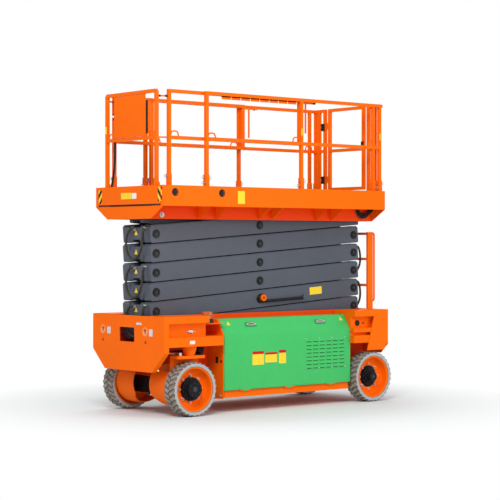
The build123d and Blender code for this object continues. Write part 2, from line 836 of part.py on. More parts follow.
def platform_deck():
    """The fixed platform: deck, skirts, end plates, gussets, and channels that hold the arms' upper shoes."""
    front = platform_front - extension_skirt - 2
    under = deck_top - deck_thickness
    channel_bottom = top_pin_z - slide_block_height / 2 - track_gap - track_flange
    deck = block((platform_rear, front), (-platform_half_width, platform_half_width), (under, deck_top))
    skirt = block(
        (platform_rear, platform_front), (platform_half_width - skirt_plate, platform_half_width), (skirt_bottom, skirt_top)
    )
    for x in skirt_hole_xs:
        skirt -= cross_bar(x, skirt_hole_z, skirt_hole_radius, (platform_half_width - 20, platform_half_width + 1))
    ledge = block(
        (platform_rear, front),
        (platform_half_width - ledge_width, platform_half_width),
        (skirt_top - skirt_plate, skirt_top),
    )
    flange = block(
        (platform_front - end_plate_thickness, platform_front),
        (front_flange_y, platform_half_width),
        (front_plate_top - 1, skirt_top),
    )
    web = block((platform_rear, front), (channel_y - channel_plate, channel_y), (channel_bottom, under))
    web += block((front - 1, platform_front), (channel_y - channel_plate, channel_y), (channel_bottom, front_plate_top))
    half = slide_block_height / 2 + track_gap
    tracks = (platform_rear + end_plate_thickness, platform_front - end_plate_thickness)
    wall = (slide_block_from, channel_y - channel_plate)
    web += block(tracks, wall, (top_pin_z + half, top_pin_z + half + track_flange))
    web += block(tracks, wall, (top_pin_z - half - track_flange, top_pin_z - half))
    gusset = [
        (platform_half_width - 1, under),
        (platform_half_width - 1, skirt_bottom),
        (channel_y - 1, channel_bottom),
        (channel_y - 1, under),
    ]
    for x in gusset_xs:
        web += end_profile(gusset, (x - gusset_plate / 2, x + gusset_plate / 2))
    shape = deck + both_sides(skirt + ledge + flange + web)
    lower = [
        (-platform_half_width, front_plate_top),
        (-platform_half_width, skirt_bottom),
        (-channel_y, channel_bottom),
        (channel_y, channel_bottom),
        (platform_half_width, skirt_bottom),
        (platform_half_width, front_plate_top),
    ]
    shape += end_profile(lower, (platform_front - end_plate_thickness, platform_front))
    rear = [
        (-platform_half_width, skirt_top),
        (-platform_half_width, skirt_bottom),
        (-channel_y, channel_bottom),
        (channel_y, channel_bottom),
        (platform_half_width, skirt_bottom),
        (platform_half_width, skirt_top),
    ]
    shape += end_profile(rear, (platform_rear, platform_rear + end_plate_thickness))
    ear = block(
        (rear_pin_x - deck_ear[0], rear_pin_x + deck_ear[0]),
        (inner_beam_to - deck_ear[1], inner_beam_to),
        (top_pin_z - deck_ear[2], under),
    )
    ear -= cross_bar(rear_pin_x, top_pin_z, bore_radius, (inner_beam_to - deck_ear[1] - 1, inner_beam_to + 1))
    return shape + both_sides(ear)


def post(x, y, low):
    """One guard rail post of square tube, up to the top rail."""
    half = rail_tube / 2
    return block((x - half, x + half), (y - half, y + half), (low, rail_top - half))


def socket(x, y, size):
    """The foot that holds a guard rail post."""
    half = size / 2
    return block((x - half, x + half), (y - half, y + half), (skirt_top, skirt_top + socket_height))


def side_rails():
    """The left guard rail: top rail, mid rail and its posts in their sockets."""
    half = rail_tube / 2
    y = main_rail_outer_y - half
    top = block((main_rail_rear - half, main_rail_front), (y - half, y + half), (rail_top - rail_tube, rail_top))
    mid = block((post_xs[-1], post_xs[0]), (y - half, y + half), (mid_rail_z - half, mid_rail_z + half))
    shape = top + mid
    for x in post_xs:
        shape += post(x, y, skirt_top) + socket(x, y, socket_size)
    return shape


def end_rails():
    """The rear guard rail on both sides of the gate."""
    half = rail_tube / 2
    low = skirt_top
    shape = None
    for pair in (end_post_ys[:2], end_post_ys[2:]):
        x = (end_rail_x - half, end_rail_x + half)
        for y in pair:
            piece = post(end_rail_x, y, low)
            shape = piece if shape is None else shape + piece
        reach = main_rail_outer_y - rail_tube - seat_gap
        span = (-reach, pair[1] + half) if pair[0] < 0 else (pair[0] - half, reach)
        shape += block(x, span, (rail_top - rail_tube, rail_top))
        shape += block(x, span, (mid_rail_z - half, mid_rail_z + half))
    knuckles = None
    for z in hinge_heights:
        arm = block(
            (end_rail_x - 5, end_rail_x + 5),
            (end_post_ys[1] + half - 1, hinge_pin_y),
            (z - 12, z + 12),
        )
        pin = upright(end_rail_x, hinge_pin_y, hinge_radius, (z - 12, z + 12))
        knuckles = arm + pin if knuckles is None else knuckles + arm + pin
    return shape + knuckles


def gate():
    """The swinging gate: a tube frame with a mid rail and its hinge eyes."""
    half = rail_tube / 2
    x = (end_rail_x - half, end_rail_x + half)
    low = skirt_top + 25
    top = block(x, (gate_from, gate_to), (rail_top - rail_tube, rail_top))
    frame = block(x, (gate_from, gate_to), (low, low + rail_tube))
    for y in (gate_from + half, gate_to - half):
        frame += block(x, (y - half, y + half), (low, rail_top - half))
    frame += block(x, (gate_from + half, gate_to - half), (mid_rail_z - half, mid_rail_z + half))
    frame += top
    for z in hinge_heights:
        for start, end in ((z - 38, z - 12 - seat_gap), (z + 12 + seat_gap, z + 38)):
            frame += upright(end_rail_x, hinge_pin_y, hinge_radius, (start, end))
            frame += block((end_rail_x - 5, end_rail_x + 5), (hinge_pin_y, gate_from + 1), (start, end))
    return frame


def extension_deck():
    """The sliding deck with its front board, side boards and the ledges that its posts stand on."""
    back = platform_front - extension_skirt
    front = block(
        (back, platform_front), (-extension_front_half, extension_front_half), (extension_front_bottom, skirt_top)
    )
    low = deck_top + extension_deck_gap
    along = (extension_deck_rear, back + 1)
    deck = block(along, (-extension_deck_half, extension_deck_half), (low, low + extension_deck_thickness))
    board = block(along, (extension_deck_half - skirt_plate, extension_deck_half), (low, skirt_top))
    ledge = block(along, extension_ledge_y, (skirt_top - skirt_plate, skirt_top))
    strip = block(
        (extension_deck_rear, extension_deck_rear + runner_length),
        (extension_deck_half - 70, extension_deck_half - 20),
        (deck_top + seat_gap, low + 1),
    )
    return front + deck + both_sides(board + ledge + strip)


def extension_rails():
    """The sliding guard rail: two long side rails inside the fixed ones, linked to an end frame in front."""
    half = rail_tube / 2
    front_x = extension_rail_front - half
    y = extension_rail_outer_y - half
    beam = (y - half, y + half)
    across = (front_x - half, front_x + half)
    shape = block(across, (-front_post_y, front_post_y), (rail_top - rail_tube, rail_top))
    shape += block(across, (-front_post_y, front_post_y), (mid_rail_z - half, mid_rail_z + half))
    along = (extension_rail_rear, extension_post_xs[0] + half)
    side = post(front_x, front_post_y, skirt_top)
    side += block(along, beam, (rail_top - rail_tube, rail_top))
    side += block(along, beam, (mid_rail_z - half, mid_rail_z + half))
    for x in extension_post_xs:
        side += post(x, y, skirt_top) + socket(x, y, extension_socket)
    side += block((extension_rail_rear, extension_rail_rear + rail_tube), beam, (mid_rail_z, rail_top - half))
    for z in (rail_top - link_drop, mid_rail_z):
        side += bar_between((front_x, front_post_y, z), (extension_post_xs[0], y, z), link_radius)
    side += block(
        handle_x,
        (y - handle_thickness / 2, y + handle_thickness / 2),
        (rail_top - handle_drop[1], rail_top - handle_drop[0]),
    )
    side += upright(grip_x, y, grip_radius, (grip_bottom, rail_top - handle_drop[1] + 1))
    return shape + both_sides(side)


def control_box():
    """The upper control box behind its wide guard panel."""
    panel = block((extension_rail_front + seat_gap, extension_rail_front + seat_gap + skirt_plate), panel_y, panel_z)
    box_x = (extension_rail_front - control_box_depth, extension_rail_front)
    box_y = (panel_y[0] + control_box_inset[0], panel_y[1] - control_box_inset[1])
    box = block(box_x, box_y, (panel_z[0] + control_box_rise[0], panel_z[1] - control_box_rise[1]))
    return panel, box


def ladder():
    """The ladder on the rear of the chassis, with a grab loop behind each stile."""
    deep, thick = ladder_stile
    tread_deep, tread_high = ladder_tread
    shape = None
    for y in ladder_y:
        stile = block(
            (ladder_x - deep / 2, ladder_x + deep / 2), (y - thick / 2, y + thick / 2), (ladder_bottom, ladder_top)
        )
        shape = stile if shape is None else shape + stile
        for z in ladder_bracket_zs:
            shape += block(
                (ladder_x + deep / 2 - 1, chassis_rear),
                (y - thick / 2, y + thick / 2),
                (z - ladder_bracket / 2, z + ladder_bracket / 2),
            )
        loop_x = grab_outer_x + grab_radius
        corners = [(ladder_x, y, grab_z[0]), (loop_x, y, grab_z[0]), (loop_x, y, grab_z[1]), (ladder_x, y, grab_z[1])]
        path = FilletPolyline(*corners, radius=grab_turn)
        shape += sweep(Plane(origin=corners[0], z_dir=(-1, 0, 0)) * Circle(grab_radius), path=path)
    for z in ladder_rungs:
        shape += block(
            (ladder_x - tread_deep / 2, ladder_x + tread_deep / 2),
            (ladder_y[0] + thick / 2 - 1, ladder_y[1] - thick / 2 + 1),
            (z - tread_high / 2, z + tread_high / 2),
        )
    return shape


def beacon():
    """The warning lamp on the left wing's shelf: a flared base under a round lens."""
    y = chassis_half_width - beacon_inset
    foot = lamp_shelf_z + seat_gap
    lens_foot = foot + beacon_base
    base = Pos(beacon_x, y, foot + beacon_base / 2) * Cone(beacon_radius + beacon_flare, beacon_radius, beacon_base)
    lens = upright(beacon_x, y, beacon_radius, (lens_foot - 1, lens_foot + beacon_lens))
    return base + fillet(lens.edges().sort_by(Axis.Z)[-1], beacon_radius / 3)


os.makedirs("parts", exist_ok=True)

save(chassis_well(), "chassis_well")
save(front_plate(), "front_plate")
save(rear_plate(), "rear_plate")
save(both_sides(front_wing()), "front_wings")
save(both_sides(rear_wing()), "rear_wings")
save(chassis_tracks(), "chassis_tracks")
save(arm_foot(), "arm_foot")
save(both_sides(king_post()), "king_pin_bosses")
save(rear_axle(), "rear_axle")
left_knuckle = knuckle()
save(left_knuckle, "knuckle_left")
save(mirror(left_knuckle, Plane.XZ), "knuckle_right")
save(tie_rod(), "tie_rod")
save(steering_barrel(), "steering_barrel")
save(steering_rod(), "steering_rod")
save(both_sides(side_tray()), "side_trays")
save(battery_pack(), "battery_pack")
save(pump_unit(), "pump_unit")
left_hood = hood()
save(left_hood, "hood_left")
save(mirror(left_hood, Plane.XZ), "hood_right")
save(ladder(), "ladder")
save(beacon(), "beacon")

one_tyre = tyre()
for place, x, hub in (("front", front_axle_x, front_hub), ("rear", rear_axle_x, rear_hub)):
    one_rim = rim(hub)
    for name, side in (("left", 1), ("right", -1)):
        save(place_wheel(one_tyre, x, side), f"tyre_{place}_{name}")
        save(place_wheel(one_rim, x, side), f"rim_{place}_{name}")

for stage in range(stage_count):
    save(place_arm(inner_arm(stage), stage, 1), f"inner_arm_{stage + 1}")
    save(place_arm(outer_arm(stage), stage, -1), f"outer_arm_{stage + 1}")

save(place_arm(slide_shoes(outer_beam_to + disc_thickness), 0, -1), "lower_slide_shoes")
save(place_arm(slide_shoes(inner_beam_to), stage_count - 1, 1), "upper_slide_shoes")

for name, first in zip(("lower", "upper"), cylinder_first_stages):
    save(barrel(first), f"{name}_lift_barrel")
    save(rod(first), f"{name}_lift_rod")

save(platform_deck(), "platform_deck")
left_rails = side_rails()
save(left_rails, "rails_left")
save(mirror(left_rails, Plane.XZ), "rails_right")
save(end_rails(), "rails_rear")
save(gate(), "gate")
save(extension_deck(), "extension_deck")
save(extension_rails(), "extension_rails")
guard_panel, upper_box = control_box()
save(guard_panel, "control_guard")
save(upper_box, "control_box")
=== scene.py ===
from math import atan2, radians

import bpy
from mathutils import Matrix, Vector


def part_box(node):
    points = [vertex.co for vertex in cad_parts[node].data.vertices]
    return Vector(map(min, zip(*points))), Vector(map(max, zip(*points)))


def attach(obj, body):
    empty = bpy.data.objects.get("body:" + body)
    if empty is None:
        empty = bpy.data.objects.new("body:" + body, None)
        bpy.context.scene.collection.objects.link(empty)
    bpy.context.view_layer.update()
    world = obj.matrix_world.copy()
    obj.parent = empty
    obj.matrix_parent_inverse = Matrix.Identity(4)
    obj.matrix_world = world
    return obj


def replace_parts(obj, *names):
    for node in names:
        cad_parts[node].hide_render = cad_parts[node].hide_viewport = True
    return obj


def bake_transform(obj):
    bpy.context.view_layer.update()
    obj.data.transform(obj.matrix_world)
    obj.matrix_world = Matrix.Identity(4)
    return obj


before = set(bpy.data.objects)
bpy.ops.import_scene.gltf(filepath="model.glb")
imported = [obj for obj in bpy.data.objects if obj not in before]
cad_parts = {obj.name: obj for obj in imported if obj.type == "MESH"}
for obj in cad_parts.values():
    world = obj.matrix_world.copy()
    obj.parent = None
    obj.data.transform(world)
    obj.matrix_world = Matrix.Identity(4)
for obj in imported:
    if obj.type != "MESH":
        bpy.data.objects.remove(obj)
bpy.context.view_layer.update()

# The viewing angle of the photograph.
CAMERA_AT = Vector((11.274, 13.621, 1.765))
CAMERA_LOOKS_AT = Vector((-0.006, 0.0, 1.6975))
CAMERA_LENS = 115.86
SENSOR = 36.0

# Where the main pieces are, from the frame.
FRONT_TYRE_LOW, FRONT_TYRE_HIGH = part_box("tyre_front_left")
REAR_TYRE_LOW, REAR_TYRE_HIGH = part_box("tyre_rear_left")
AXLE_Z = (FRONT_TYRE_LOW.z + FRONT_TYRE_HIGH.z) / 2
FRONT_AXLE_X = (FRONT_TYRE_LOW.x + FRONT_TYRE_HIGH.x) / 2
REAR_AXLE_X = (REAR_TYRE_LOW.x + REAR_TYRE_HIGH.x) / 2
WHEEL_Y = (FRONT_TYRE_LOW.y + FRONT_TYRE_HIGH.y) / 2
SIDES = (("left", 0), ("right", 180))

camera_data = bpy.data.cameras.new("camera")
camera_data.lens = CAMERA_LENS
camera_data.sensor_width = SENSOR
camera = bpy.data.objects.new("camera", camera_data)
bpy.context.scene.collection.objects.link(camera)
camera.location = CAMERA_AT
camera.rotation_mode = "QUATERNION"
camera.rotation_quaternion = (CAMERA_LOOKS_AT - CAMERA_AT).to_track_quat("-Z", "Y")
camera_data.clip_end = 200
bpy.context.scene.camera = camera
bpy.context.scene.view_settings.view_transform = "Standard"


def shown(red, green, blue):
    """A colour written as it shows on a screen, 0 to 255, as the shader wants it."""
    parts = []
    for value in (red, green, blue):
        level = value / 255
        parts.append(level / 12.92 if level <= 0.04045 else ((level + 0.055) / 1.055) ** 2.4)
    return (*parts, 1.0)


# Paints and other finishes.
ORANGE = shown(255, 108, 0)
# Painted shade: a deeper, redder orange for paint that lies in shade, under the skirt, in wells and in holes.
SHADED_ORANGE = shown(250, 72, 4)
ARM_GREY = shown(74, 79, 91)
GREEN = shown(58, 190, 98)
# Painted shade: a darker green for the recessed handle dishes.
SHADED_DISH_GREEN = shown(56, 170, 92)
# Painted shade: a dark green for the shade in the slots under the louvres.
SLOT_SHADE_GREEN = shown(14, 74, 34)
HOSE = shown(64, 61, 53)
CAP_BLACK = shown(17, 17, 18)
GROOVE = shown(122, 112, 102)
BOLT_GREY = shown(66, 68, 72)
# Painted highlight: a paler orange for the lit rims of the tie-down rings.
RING_HIGHLIGHT_ORANGE = shown(255, 146, 58)
PALE_LABEL = shown(206, 214, 226)
BURNT = shown(176, 58, 20)
BLACK = shown(30, 30, 32)
PLASTIC_BLACK = shown(38, 38, 41)
ZINC = shown(196, 196, 190)
TYRE_GREY = shown(176, 170, 162)
SIDEWALL = shown(186, 186, 188)
STEEL = shown(168, 170, 174)
DECK_GREY = shown(120, 124, 130)
CHROME = shown(205, 208, 212)
YELLOW = shown(250, 214, 60)
WHITE = shown(238, 238, 236)
AMBER = shown(245, 120, 20)
RED = shown(200, 30, 28)


SURFACE_OUTPUTS = (("Colour", "NodeSocketColor"), ("Roughness", "NodeSocketFloat"), ("Height", "NodeSocketFloat"))


def new_group(name, inputs):
    """A node group with named inputs and the outputs of a surface, and its two end nodes."""
    group = bpy.data.node_groups.new(name, "ShaderNodeTree")
    for label, kind, value in inputs:
        socket = group.interface.new_socket(name=label, in_out="INPUT", socket_type=kind)
        socket.default_value = value
    for label, kind in SURFACE_OUTPUTS:
        group.interface.new_socket(name=label, in_out="OUTPUT", socket_type=kind)
    return group, group.nodes.new("NodeGroupInput"), group.nodes.new("NodeGroupOutput")


def wire(tree, source, target):
    """Join two sockets."""
    tree.links.new(source, target)


def feed(tree, socket, value):
    """Put a value into a socket, from another socket or as it is."""
    if hasattr(value, "is_output"):
        wire(tree, value, socket)
    else:
        socket.default_value = value


def noise(tree, place, scale, detail=4.0, roughness=0.5):
    """A noise pattern on a place in metres."""
    node = tree.nodes.new("ShaderNodeTexNoise")
    feed(tree, node.inputs["Scale"], scale)
    node.inputs["Detail"].default_value = detail
    node.inputs["Roughness"].default_value = roughness
    wire(tree, place, node.inputs["Vector"])
    return node.outputs["Fac"]


def spread(tree, value, low, high, to_low=0.0, to_high=1.0):
    """Map one range of a value to another, held at its ends."""
    node = tree.nodes.new("ShaderNodeMapRange")
    node.inputs["From Min"].default_value = low
    node.inputs["From Max"].default_value = high
    node.inputs["To Min"].default_value = to_low
    node.inputs["To Max"].default_value = to_high
    wire(tree, value, node.inputs["Value"])
    return node.outputs["Result"]


def maths(tree, operation, first, second=0.0):
    """One sum on values, each a socket or a number."""
    node = tree.nodes.new("ShaderNodeMath")
    node.operation = operation
    for socket, value in zip(node.inputs, (first, second)):
        feed(tree, socket, value)
    return node.outputs["Value"]


def blend_colours(tree, share, first, second, kind="MIX"):
    """Mix two colours by a share, each a socket or a colour."""
    node = tree.nodes.new("ShaderNodeMix")
    node.data_type = "RGBA"
    node.blend_type = kind
    for name, value in (("Factor", share), ("A", first), ("B", second)):
        feed(tree, [item for item in node.inputs if item.name == name and item.enabled][0], value)
    return [item for item in node.outputs if item.enabled][0]


def object_place(tree):
    """The place of a point on the object, in metres."""
    return tree.nodes.new("ShaderNodeTexCoord").outputs["Object"]


def split(tree, vector):
    """The X, Y and Z of a place."""
    node = tree.nodes.new("ShaderNodeSeparateXYZ")
    wire(tree, vector, node.inputs["Vector"])
    return node.outputs["X"], node.outputs["Y"], node.outputs["Z"]


DUST = shown(176, 160, 140)
PRIMER = shown(70, 60, 54)
RUBBER_SHADE = shown(178, 172, 168)
RUBBER_SCUFF = shown(132, 120, 108)
TARNISH = shown(160, 154, 146)


def build_paint_group():
    """Sprayed paint: slow shade changes, orange peel, road dust low down and small chips."""
    group, source, result = new_group(
        "sprayed_paint",
        [
            ("Paint", "NodeSocketColor", ORANGE),
            ("Shade", "NodeSocketFloat", 0.06),
            ("Dust", "NodeSocketFloat", 0.25),
            ("Roughness", "NodeSocketFloat", 0.38),
            ("Chips", "NodeSocketFloat", 0.3),
        ],
    )
    place = object_place(group)
    _, _, height = split(group, place)
    slow = spread(group, noise(group, place, 2.2, 3.0), 0.3, 0.7, -1.0, 1.0)
    cloudy = spread(group, noise(group, place, 9.0, 5.0, 0.6), 0.3, 0.7, -1.0, 1.0)
    swing = maths(group, "ADD", maths(group, "MULTIPLY", slow, 0.6), maths(group, "MULTIPLY", cloudy, 0.4))
    level = maths(group, "ADD", maths(group, "MULTIPLY", swing, source.outputs["Shade"]), 1.0)
    shade = group.nodes.new("ShaderNodeCombineColor")
    for channel in ("Red", "Green", "Blue"):
        wire(group, level, shade.inputs[channel])
    painted = blend_colours(group, 1.0, source.outputs["Paint"], shade.outputs["Color"], "MULTIPLY")
    low_down = spread(group, height, 0.05, 0.9, 1.0, 0.1)
    patches = spread(group, noise(group, place, 14.0, 6.0, 0.65), 0.46, 0.72)
    dusty = maths(group, "MULTIPLY", maths(group, "MULTIPLY", low_down, patches), source.outputs["Dust"])
    dusted = blend_colours(group, dusty, painted, DUST)
    fine = noise(group, place, 75.0, 2.0, 0.7)
    broad = noise(group, place, 6.0, 2.0)
    chipped = maths(group, "MULTIPLY", spread(group, fine, 0.72, 0.75), spread(group, broad, 0.52, 0.6))
    chipped = maths(group, "MULTIPLY", chipped, source.outputs["Chips"])
    final = blend_colours(group, chipped, dusted, PRIMER)
    wire(group, final, result.inputs["Colour"])
    rough = maths(group, "ADD", source.outputs["Roughness"], maths(group, "MULTIPLY", dusty, 0.4))
    rough = maths(group, "ADD", rough, maths(group, "MULTIPLY", swing, 0.05))
    wire(group, rough, result.inputs["Roughness"])
    peel = maths(group, "MULTIPLY", noise(group, place, 420.0, 1.0), 0.7)
    peel = maths(group, "SUBTRACT", peel, chipped)
    wire(group, peel, result.inputs["Height"])
    return group


def build_rubber_group():
    """Rubber: mould grain, cloudy darker patches, scuffs and a paler dried surface."""
    group, source, result = new_group(
        "rubber_grain",
        [
            ("Rubber", "NodeSocketColor", TYRE_GREY),
            ("Scuffs", "NodeSocketFloat", 0.4),
            ("Grain", "NodeSocketFloat", 260.0),
        ],
    )
    place = object_place(group)
    cloudy = spread(group, noise(group, place, 16.0, 6.0, 0.62), 0.35, 0.68)
    streaks = spread(group, noise(group, place, 60.0, 3.0, 0.7), 0.5, 0.7)
    darker = blend_colours(group, 1.0, source.outputs["Rubber"], RUBBER_SHADE, "MULTIPLY")
    first = blend_colours(group, cloudy, darker, source.outputs["Rubber"])
    scuffed = maths(group, "MULTIPLY", streaks, source.outputs["Scuffs"])
    final = blend_colours(group, scuffed, first, RUBBER_SCUFF)
    wire(group, final, result.inputs["Colour"])
    wire(group, spread(group, cloudy, 0.0, 1.0, 0.72, 0.9), result.inputs["Roughness"])
    grain = noise(group, place, source.outputs["Grain"], 3.0)
    wire(group, maths(group, "SUBTRACT", grain, scuffed), result.inputs["Height"])
    return group


def build_metal_group():
    """Bare metal: drawn streaks along one direction, dull patches and specks."""
    group, source, result = new_group(
        "worked_metal",
        [
            ("Metal", "NodeSocketColor", STEEL),
            ("Streaks", "NodeSocketVector", (4.0, 4.0, 120.0)),
            ("Roughness", "NodeSocketFloat", 0.32),
            ("Dulling", "NodeSocketFloat", 0.3),
        ],
    )
    place = object_place(group)
    stretched = group.nodes.new("ShaderNodeVectorMath")
    stretched.operation = "MULTIPLY"
    wire(group, place, stretched.inputs[0])
    wire(group, source.outputs["Streaks"], stretched.inputs[1])
    drawn = noise(group, stretched.outputs["Vector"], 8.0, 3.0)
    patches = spread(group, noise(group, place, 11.0, 5.0, 0.6), 0.42, 0.7)
    dull = maths(group, "MULTIPLY", patches, source.outputs["Dulling"])
    tarnished = blend_colours(group, 1.0, source.outputs["Metal"], TARNISH, "MULTIPLY")
    final = blend_colours(group, dull, source.outputs["Metal"], tarnished)
    wire(group, final, result.inputs["Colour"])
    rough = maths(group, "ADD", source.outputs["Roughness"], maths(group, "MULTIPLY", dull, 0.5))
    wire(group, rough, result.inputs["Roughness"])
    wire(group, drawn, result.inputs["Height"])
    return group


PAINT_GROUP = build_paint_group()
RUBBER_GROUP = build_rubber_group()
METAL_GROUP = build_metal_group()


def new_material(name, group, values, bump=0.1, bump_distance=0.0006, metallic=0.0, coat=0.0, specular=0.5):
    """A material whose colour, roughness and bump come from a group with its own values."""
    material = bpy.data.materials.new(name)
    material.use_nodes = True
    tree = material.node_tree
    shader = tree.nodes["Principled BSDF"]
    effect = tree.nodes.new("ShaderNodeGroup")
    effect.node_tree = group
    for label, value in values.items():
        effect.inputs[label].default_value = value
    wire(tree, effect.outputs["Colour"], shader.inputs["Base Color"])
    wire(tree, effect.outputs["Roughness"], shader.inputs["Roughness"])
    lift = tree.nodes.new("ShaderNodeBump")
    lift.inputs["Strength"].default_value = bump
    lift.inputs["Distance"].default_value = bump_distance
    wire(tree, effect.outputs["Height"], lift.inputs["Height"])
    wire(tree, lift.outputs["Normal"], shader.inputs["Normal"])
    shader.inputs["Metallic"].default_value = metallic
    shader.inputs["Coat Weight"].default_value = coat
    shader.inputs["Coat Roughness"].default_value = 0.15
    shader.inputs["Specular IOR Level"].default_value = specular
    return material


def paint(name, colour, shade=0.05, dust=0.1, roughness=0.42, chips=0.25, coat=0.0, specular=0.07):
    """A sprayed paint of one colour."""
    values = {"Paint": colour, "Shade": shade, "Dust": dust, "Roughness": roughness, "Chips": chips}
    return new_material(name, PAINT_GROUP, values, bump=0.12, coat=coat, specular=specular)


def sticker(name, colour):
    """The clean, smooth face of a sticker."""
    return paint(name, colour, shade=0.04, dust=0.03, roughness=0.45, chips=0.05)


def metal(name, colour, streaks=(4.0, 4.0, 120.0), roughness=0.3, dulling=0.3):
    """A bare metal of one colour."""
    values = {"Metal": colour, "Streaks": streaks, "Roughness": roughness, "Dulling": dulling}
    return new_material(name, METAL_GROUP, values, bump=0.05, metallic=1.0)


def rubber(name, colour, scuffs=0.35, grain=260.0, bump=0.35):
    """A rubber or matt plastic of one colour."""
    values = {"Rubber": colour, "Scuffs": scuffs, "Grain": grain}
    return new_material(name, RUBBER_GROUP, values, bump=bump, bump_distance=0.0008, specular=0.3)


def base_colour(material):
    """A material's tree, its colour input, and the socket that feeds it so far."""
    tree = material.node_tree
    target = tree.nodes["Principled BSDF"].inputs["Base Color"]
    return tree, target, target.links[0].from_socket


def masked(base, name, mask_of, colour):
    """A copy of a material with a second colour where a mask made by mask_of is 1."""
    material = base.copy()
    material.name = name
    tree, target, under = base_colour(material)
    wire(tree, blend_colours(tree, mask_of(tree), under, colour), target)
    return material


orange_paint = paint("orange_paint", ORANGE, dust=0.03)
# Painted shade: the orange paint as it looks in shade.
shaded_orange_paint = paint("shaded_orange_paint", SHADED_ORANGE, dust=0.15)
rail_paint = paint("rail_orange_paint", ORANGE, dust=0.0, chips=0.35)
arm_paint = paint("arm_grey_paint", ARM_GREY, shade=0.09, coat=0.08, specular=0.3)
green_paint = paint(
    "green_paint", GREEN, shade=0.035, dust=0.06, roughness=0.32, chips=0.05, coat=0.15, specular=0.25
)
louvre_slot_shade = paint("louvre_slot_shade_paint", SLOT_SHADE_GREEN, dust=0.0, roughness=0.6, chips=0.0)
# Painted shade: the hood green darkened for the recess of each handle dish.
shaded_dish_green = paint("shaded_dish_green_paint", SHADED_DISH_GREEN, roughness=0.4, chips=0.0)
black_paint = paint("black_paint", BLACK, shade=0.12, roughness=0.4, coat=0.1)
bolt_paint = paint("pin_bolt_paint", BOLT_GREY, shade=0.1, dust=0.05, roughness=0.4)
ring_highlight_paint = paint("tie_ring_highlight_paint", RING_HIGHLIGHT_ORANGE, dust=0.02)
cap_paint = paint("pin_cap_paint", CAP_BLACK, shade=0.15, dust=0.05, roughness=0.35, coat=0.2)
burnt_paint = paint("burnt_orange_paint", BURNT, shade=0.1, roughness=0.5)
pale_label = sticker("pale_label", PALE_LABEL)
yellow_label = sticker("yellow_label", YELLOW)
white_label = sticker("white_label", WHITE)
red_label = paint("red_label", RED, shade=0.04, dust=0.05, roughness=0.4, chips=0.05)
tyre_rubber = rubber("tyre_rubber", TYRE_GREY, scuffs=0.5)
black_rubber = rubber("black_rubber", BLACK, scuffs=0.15, grain=420.0)
hose_rubber = rubber("hose_rubber", HOSE, scuffs=0.2, grain=420.0)
black_plastic = rubber("black_plastic", PLASTIC_BLACK, scuffs=0.1, grain=700.0, bump=0.2)
chrome_metal = metal("chrome_metal", CHROME, streaks=(30.0, 4.0, 4.0), roughness=0.12, dulling=0.1)
steel_metal = metal("steel_metal", STEEL, roughness=0.34)
zinc_metal = metal("zinc_metal", ZINC, streaks=(20.0, 20.0, 20.0), roughness=0.4)


# The tread lies below DECK_LINE, and the sides take a painted shade of deep orange inside and under the skirt.
DECK_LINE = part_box("extension_deck")[0].z + 0.13
SKIRT_LOW = 2.149
SKIRT_INSIDE = 0.5925


def deck_tread(tree):
    """Raised lozenges of a tread plate, as a height in a material."""
    place = object_place(tree)
    total = None
    for turn in (radians(45), radians(-45)):
        mapping = tree.nodes.new("ShaderNodeMapping")
        mapping.inputs["Rotation"].default_value = (0.0, 0.0, turn)
        mapping.inputs["Scale"].default_value = (22.0, 60.0, 1.0)
        wire(tree, place, mapping.inputs["Vector"])
        dots = tree.nodes.new("ShaderNodeTexVoronoi")
        dots.voronoi_dimensions = "2D"
        dots.inputs["Scale"].default_value = 1.0
        dots.inputs["Randomness"].default_value = 0.0
        wire(tree, mapping.outputs["Vector"], dots.inputs["Vector"])
        bump = spread(tree, dots.outputs["Distance"], 0.18, 0.34, 1.0, 0.0)
        total = bump if total is None else maths(tree, "MAXIMUM", total, bump)
    return total


def deck_material():
    """Grey tread plate for the decks, orange on the sides that stand up, and deep orange as painted shade inside
    and under the skirt.
    """
    material = paint("deck_plate", DECK_GREY, shade=0.12, dust=0.0, chips=0.6)
    tree, target, under = base_colour(material)
    forward, _, up = split(tree, tree.nodes.new("ShaderNodeNewGeometry").outputs["Normal"])
    _, across, height = split(tree, object_place(tree))
    flat = spread(tree, up, 0.9, 0.95)
    low = spread(tree, height, DECK_LINE, DECK_LINE + 0.002, 1.0, 0.0)
    on_deck = maths(tree, "MULTIPLY", flat, low)
    # Painted shade: deep orange under and inside the skirt, but not on its ends.
    beneath = spread(tree, height, SKIRT_LOW, SKIRT_LOW + 0.002, 1.0, 0.0)
    inside = spread(tree, maths(tree, "ABSOLUTE", across), SKIRT_INSIDE, SKIRT_INSIDE + 0.001, 1.0, 0.0)
    not_end = spread(tree, maths(tree, "ABSOLUTE", forward), 0.5, 0.6, 1.0, 0.0)
    painted_shade_share = maths(tree, "MULTIPLY", maths(tree, "MAXIMUM", beneath, inside), not_end)
    standing = blend_colours(tree, painted_shade_share, ORANGE, SHADED_ORANGE)
    wire(tree, blend_colours(tree, on_deck, standing, under), target)
    bump = [node for node in tree.nodes if node.bl_idname == "ShaderNodeBump"][0]
    peel = bump.inputs["Height"].links[0].from_socket
    tread = maths(tree, "MULTIPLY", deck_tread(tree), on_deck)
    height_sum = maths(tree, "ADD", maths(tree, "MULTIPLY", tread, 2.0), maths(tree, "MULTIPLY", peel, 0.1))
    wire(tree, height_sum, bump.inputs["Height"])
    bump.inputs["Strength"].default_value = 0.6
    bump.inputs["Distance"].default_value = 0.0012
    return material


deck_plate = deck_material()


# Distances from a wheel's axle or its middle plane at which its colours change.
TREAD_HALF = 0.0862
GROOVE_EDGE = 0.2705
HUB_EDGE = 0.1215
MOTOR_EDGE = 0.0886


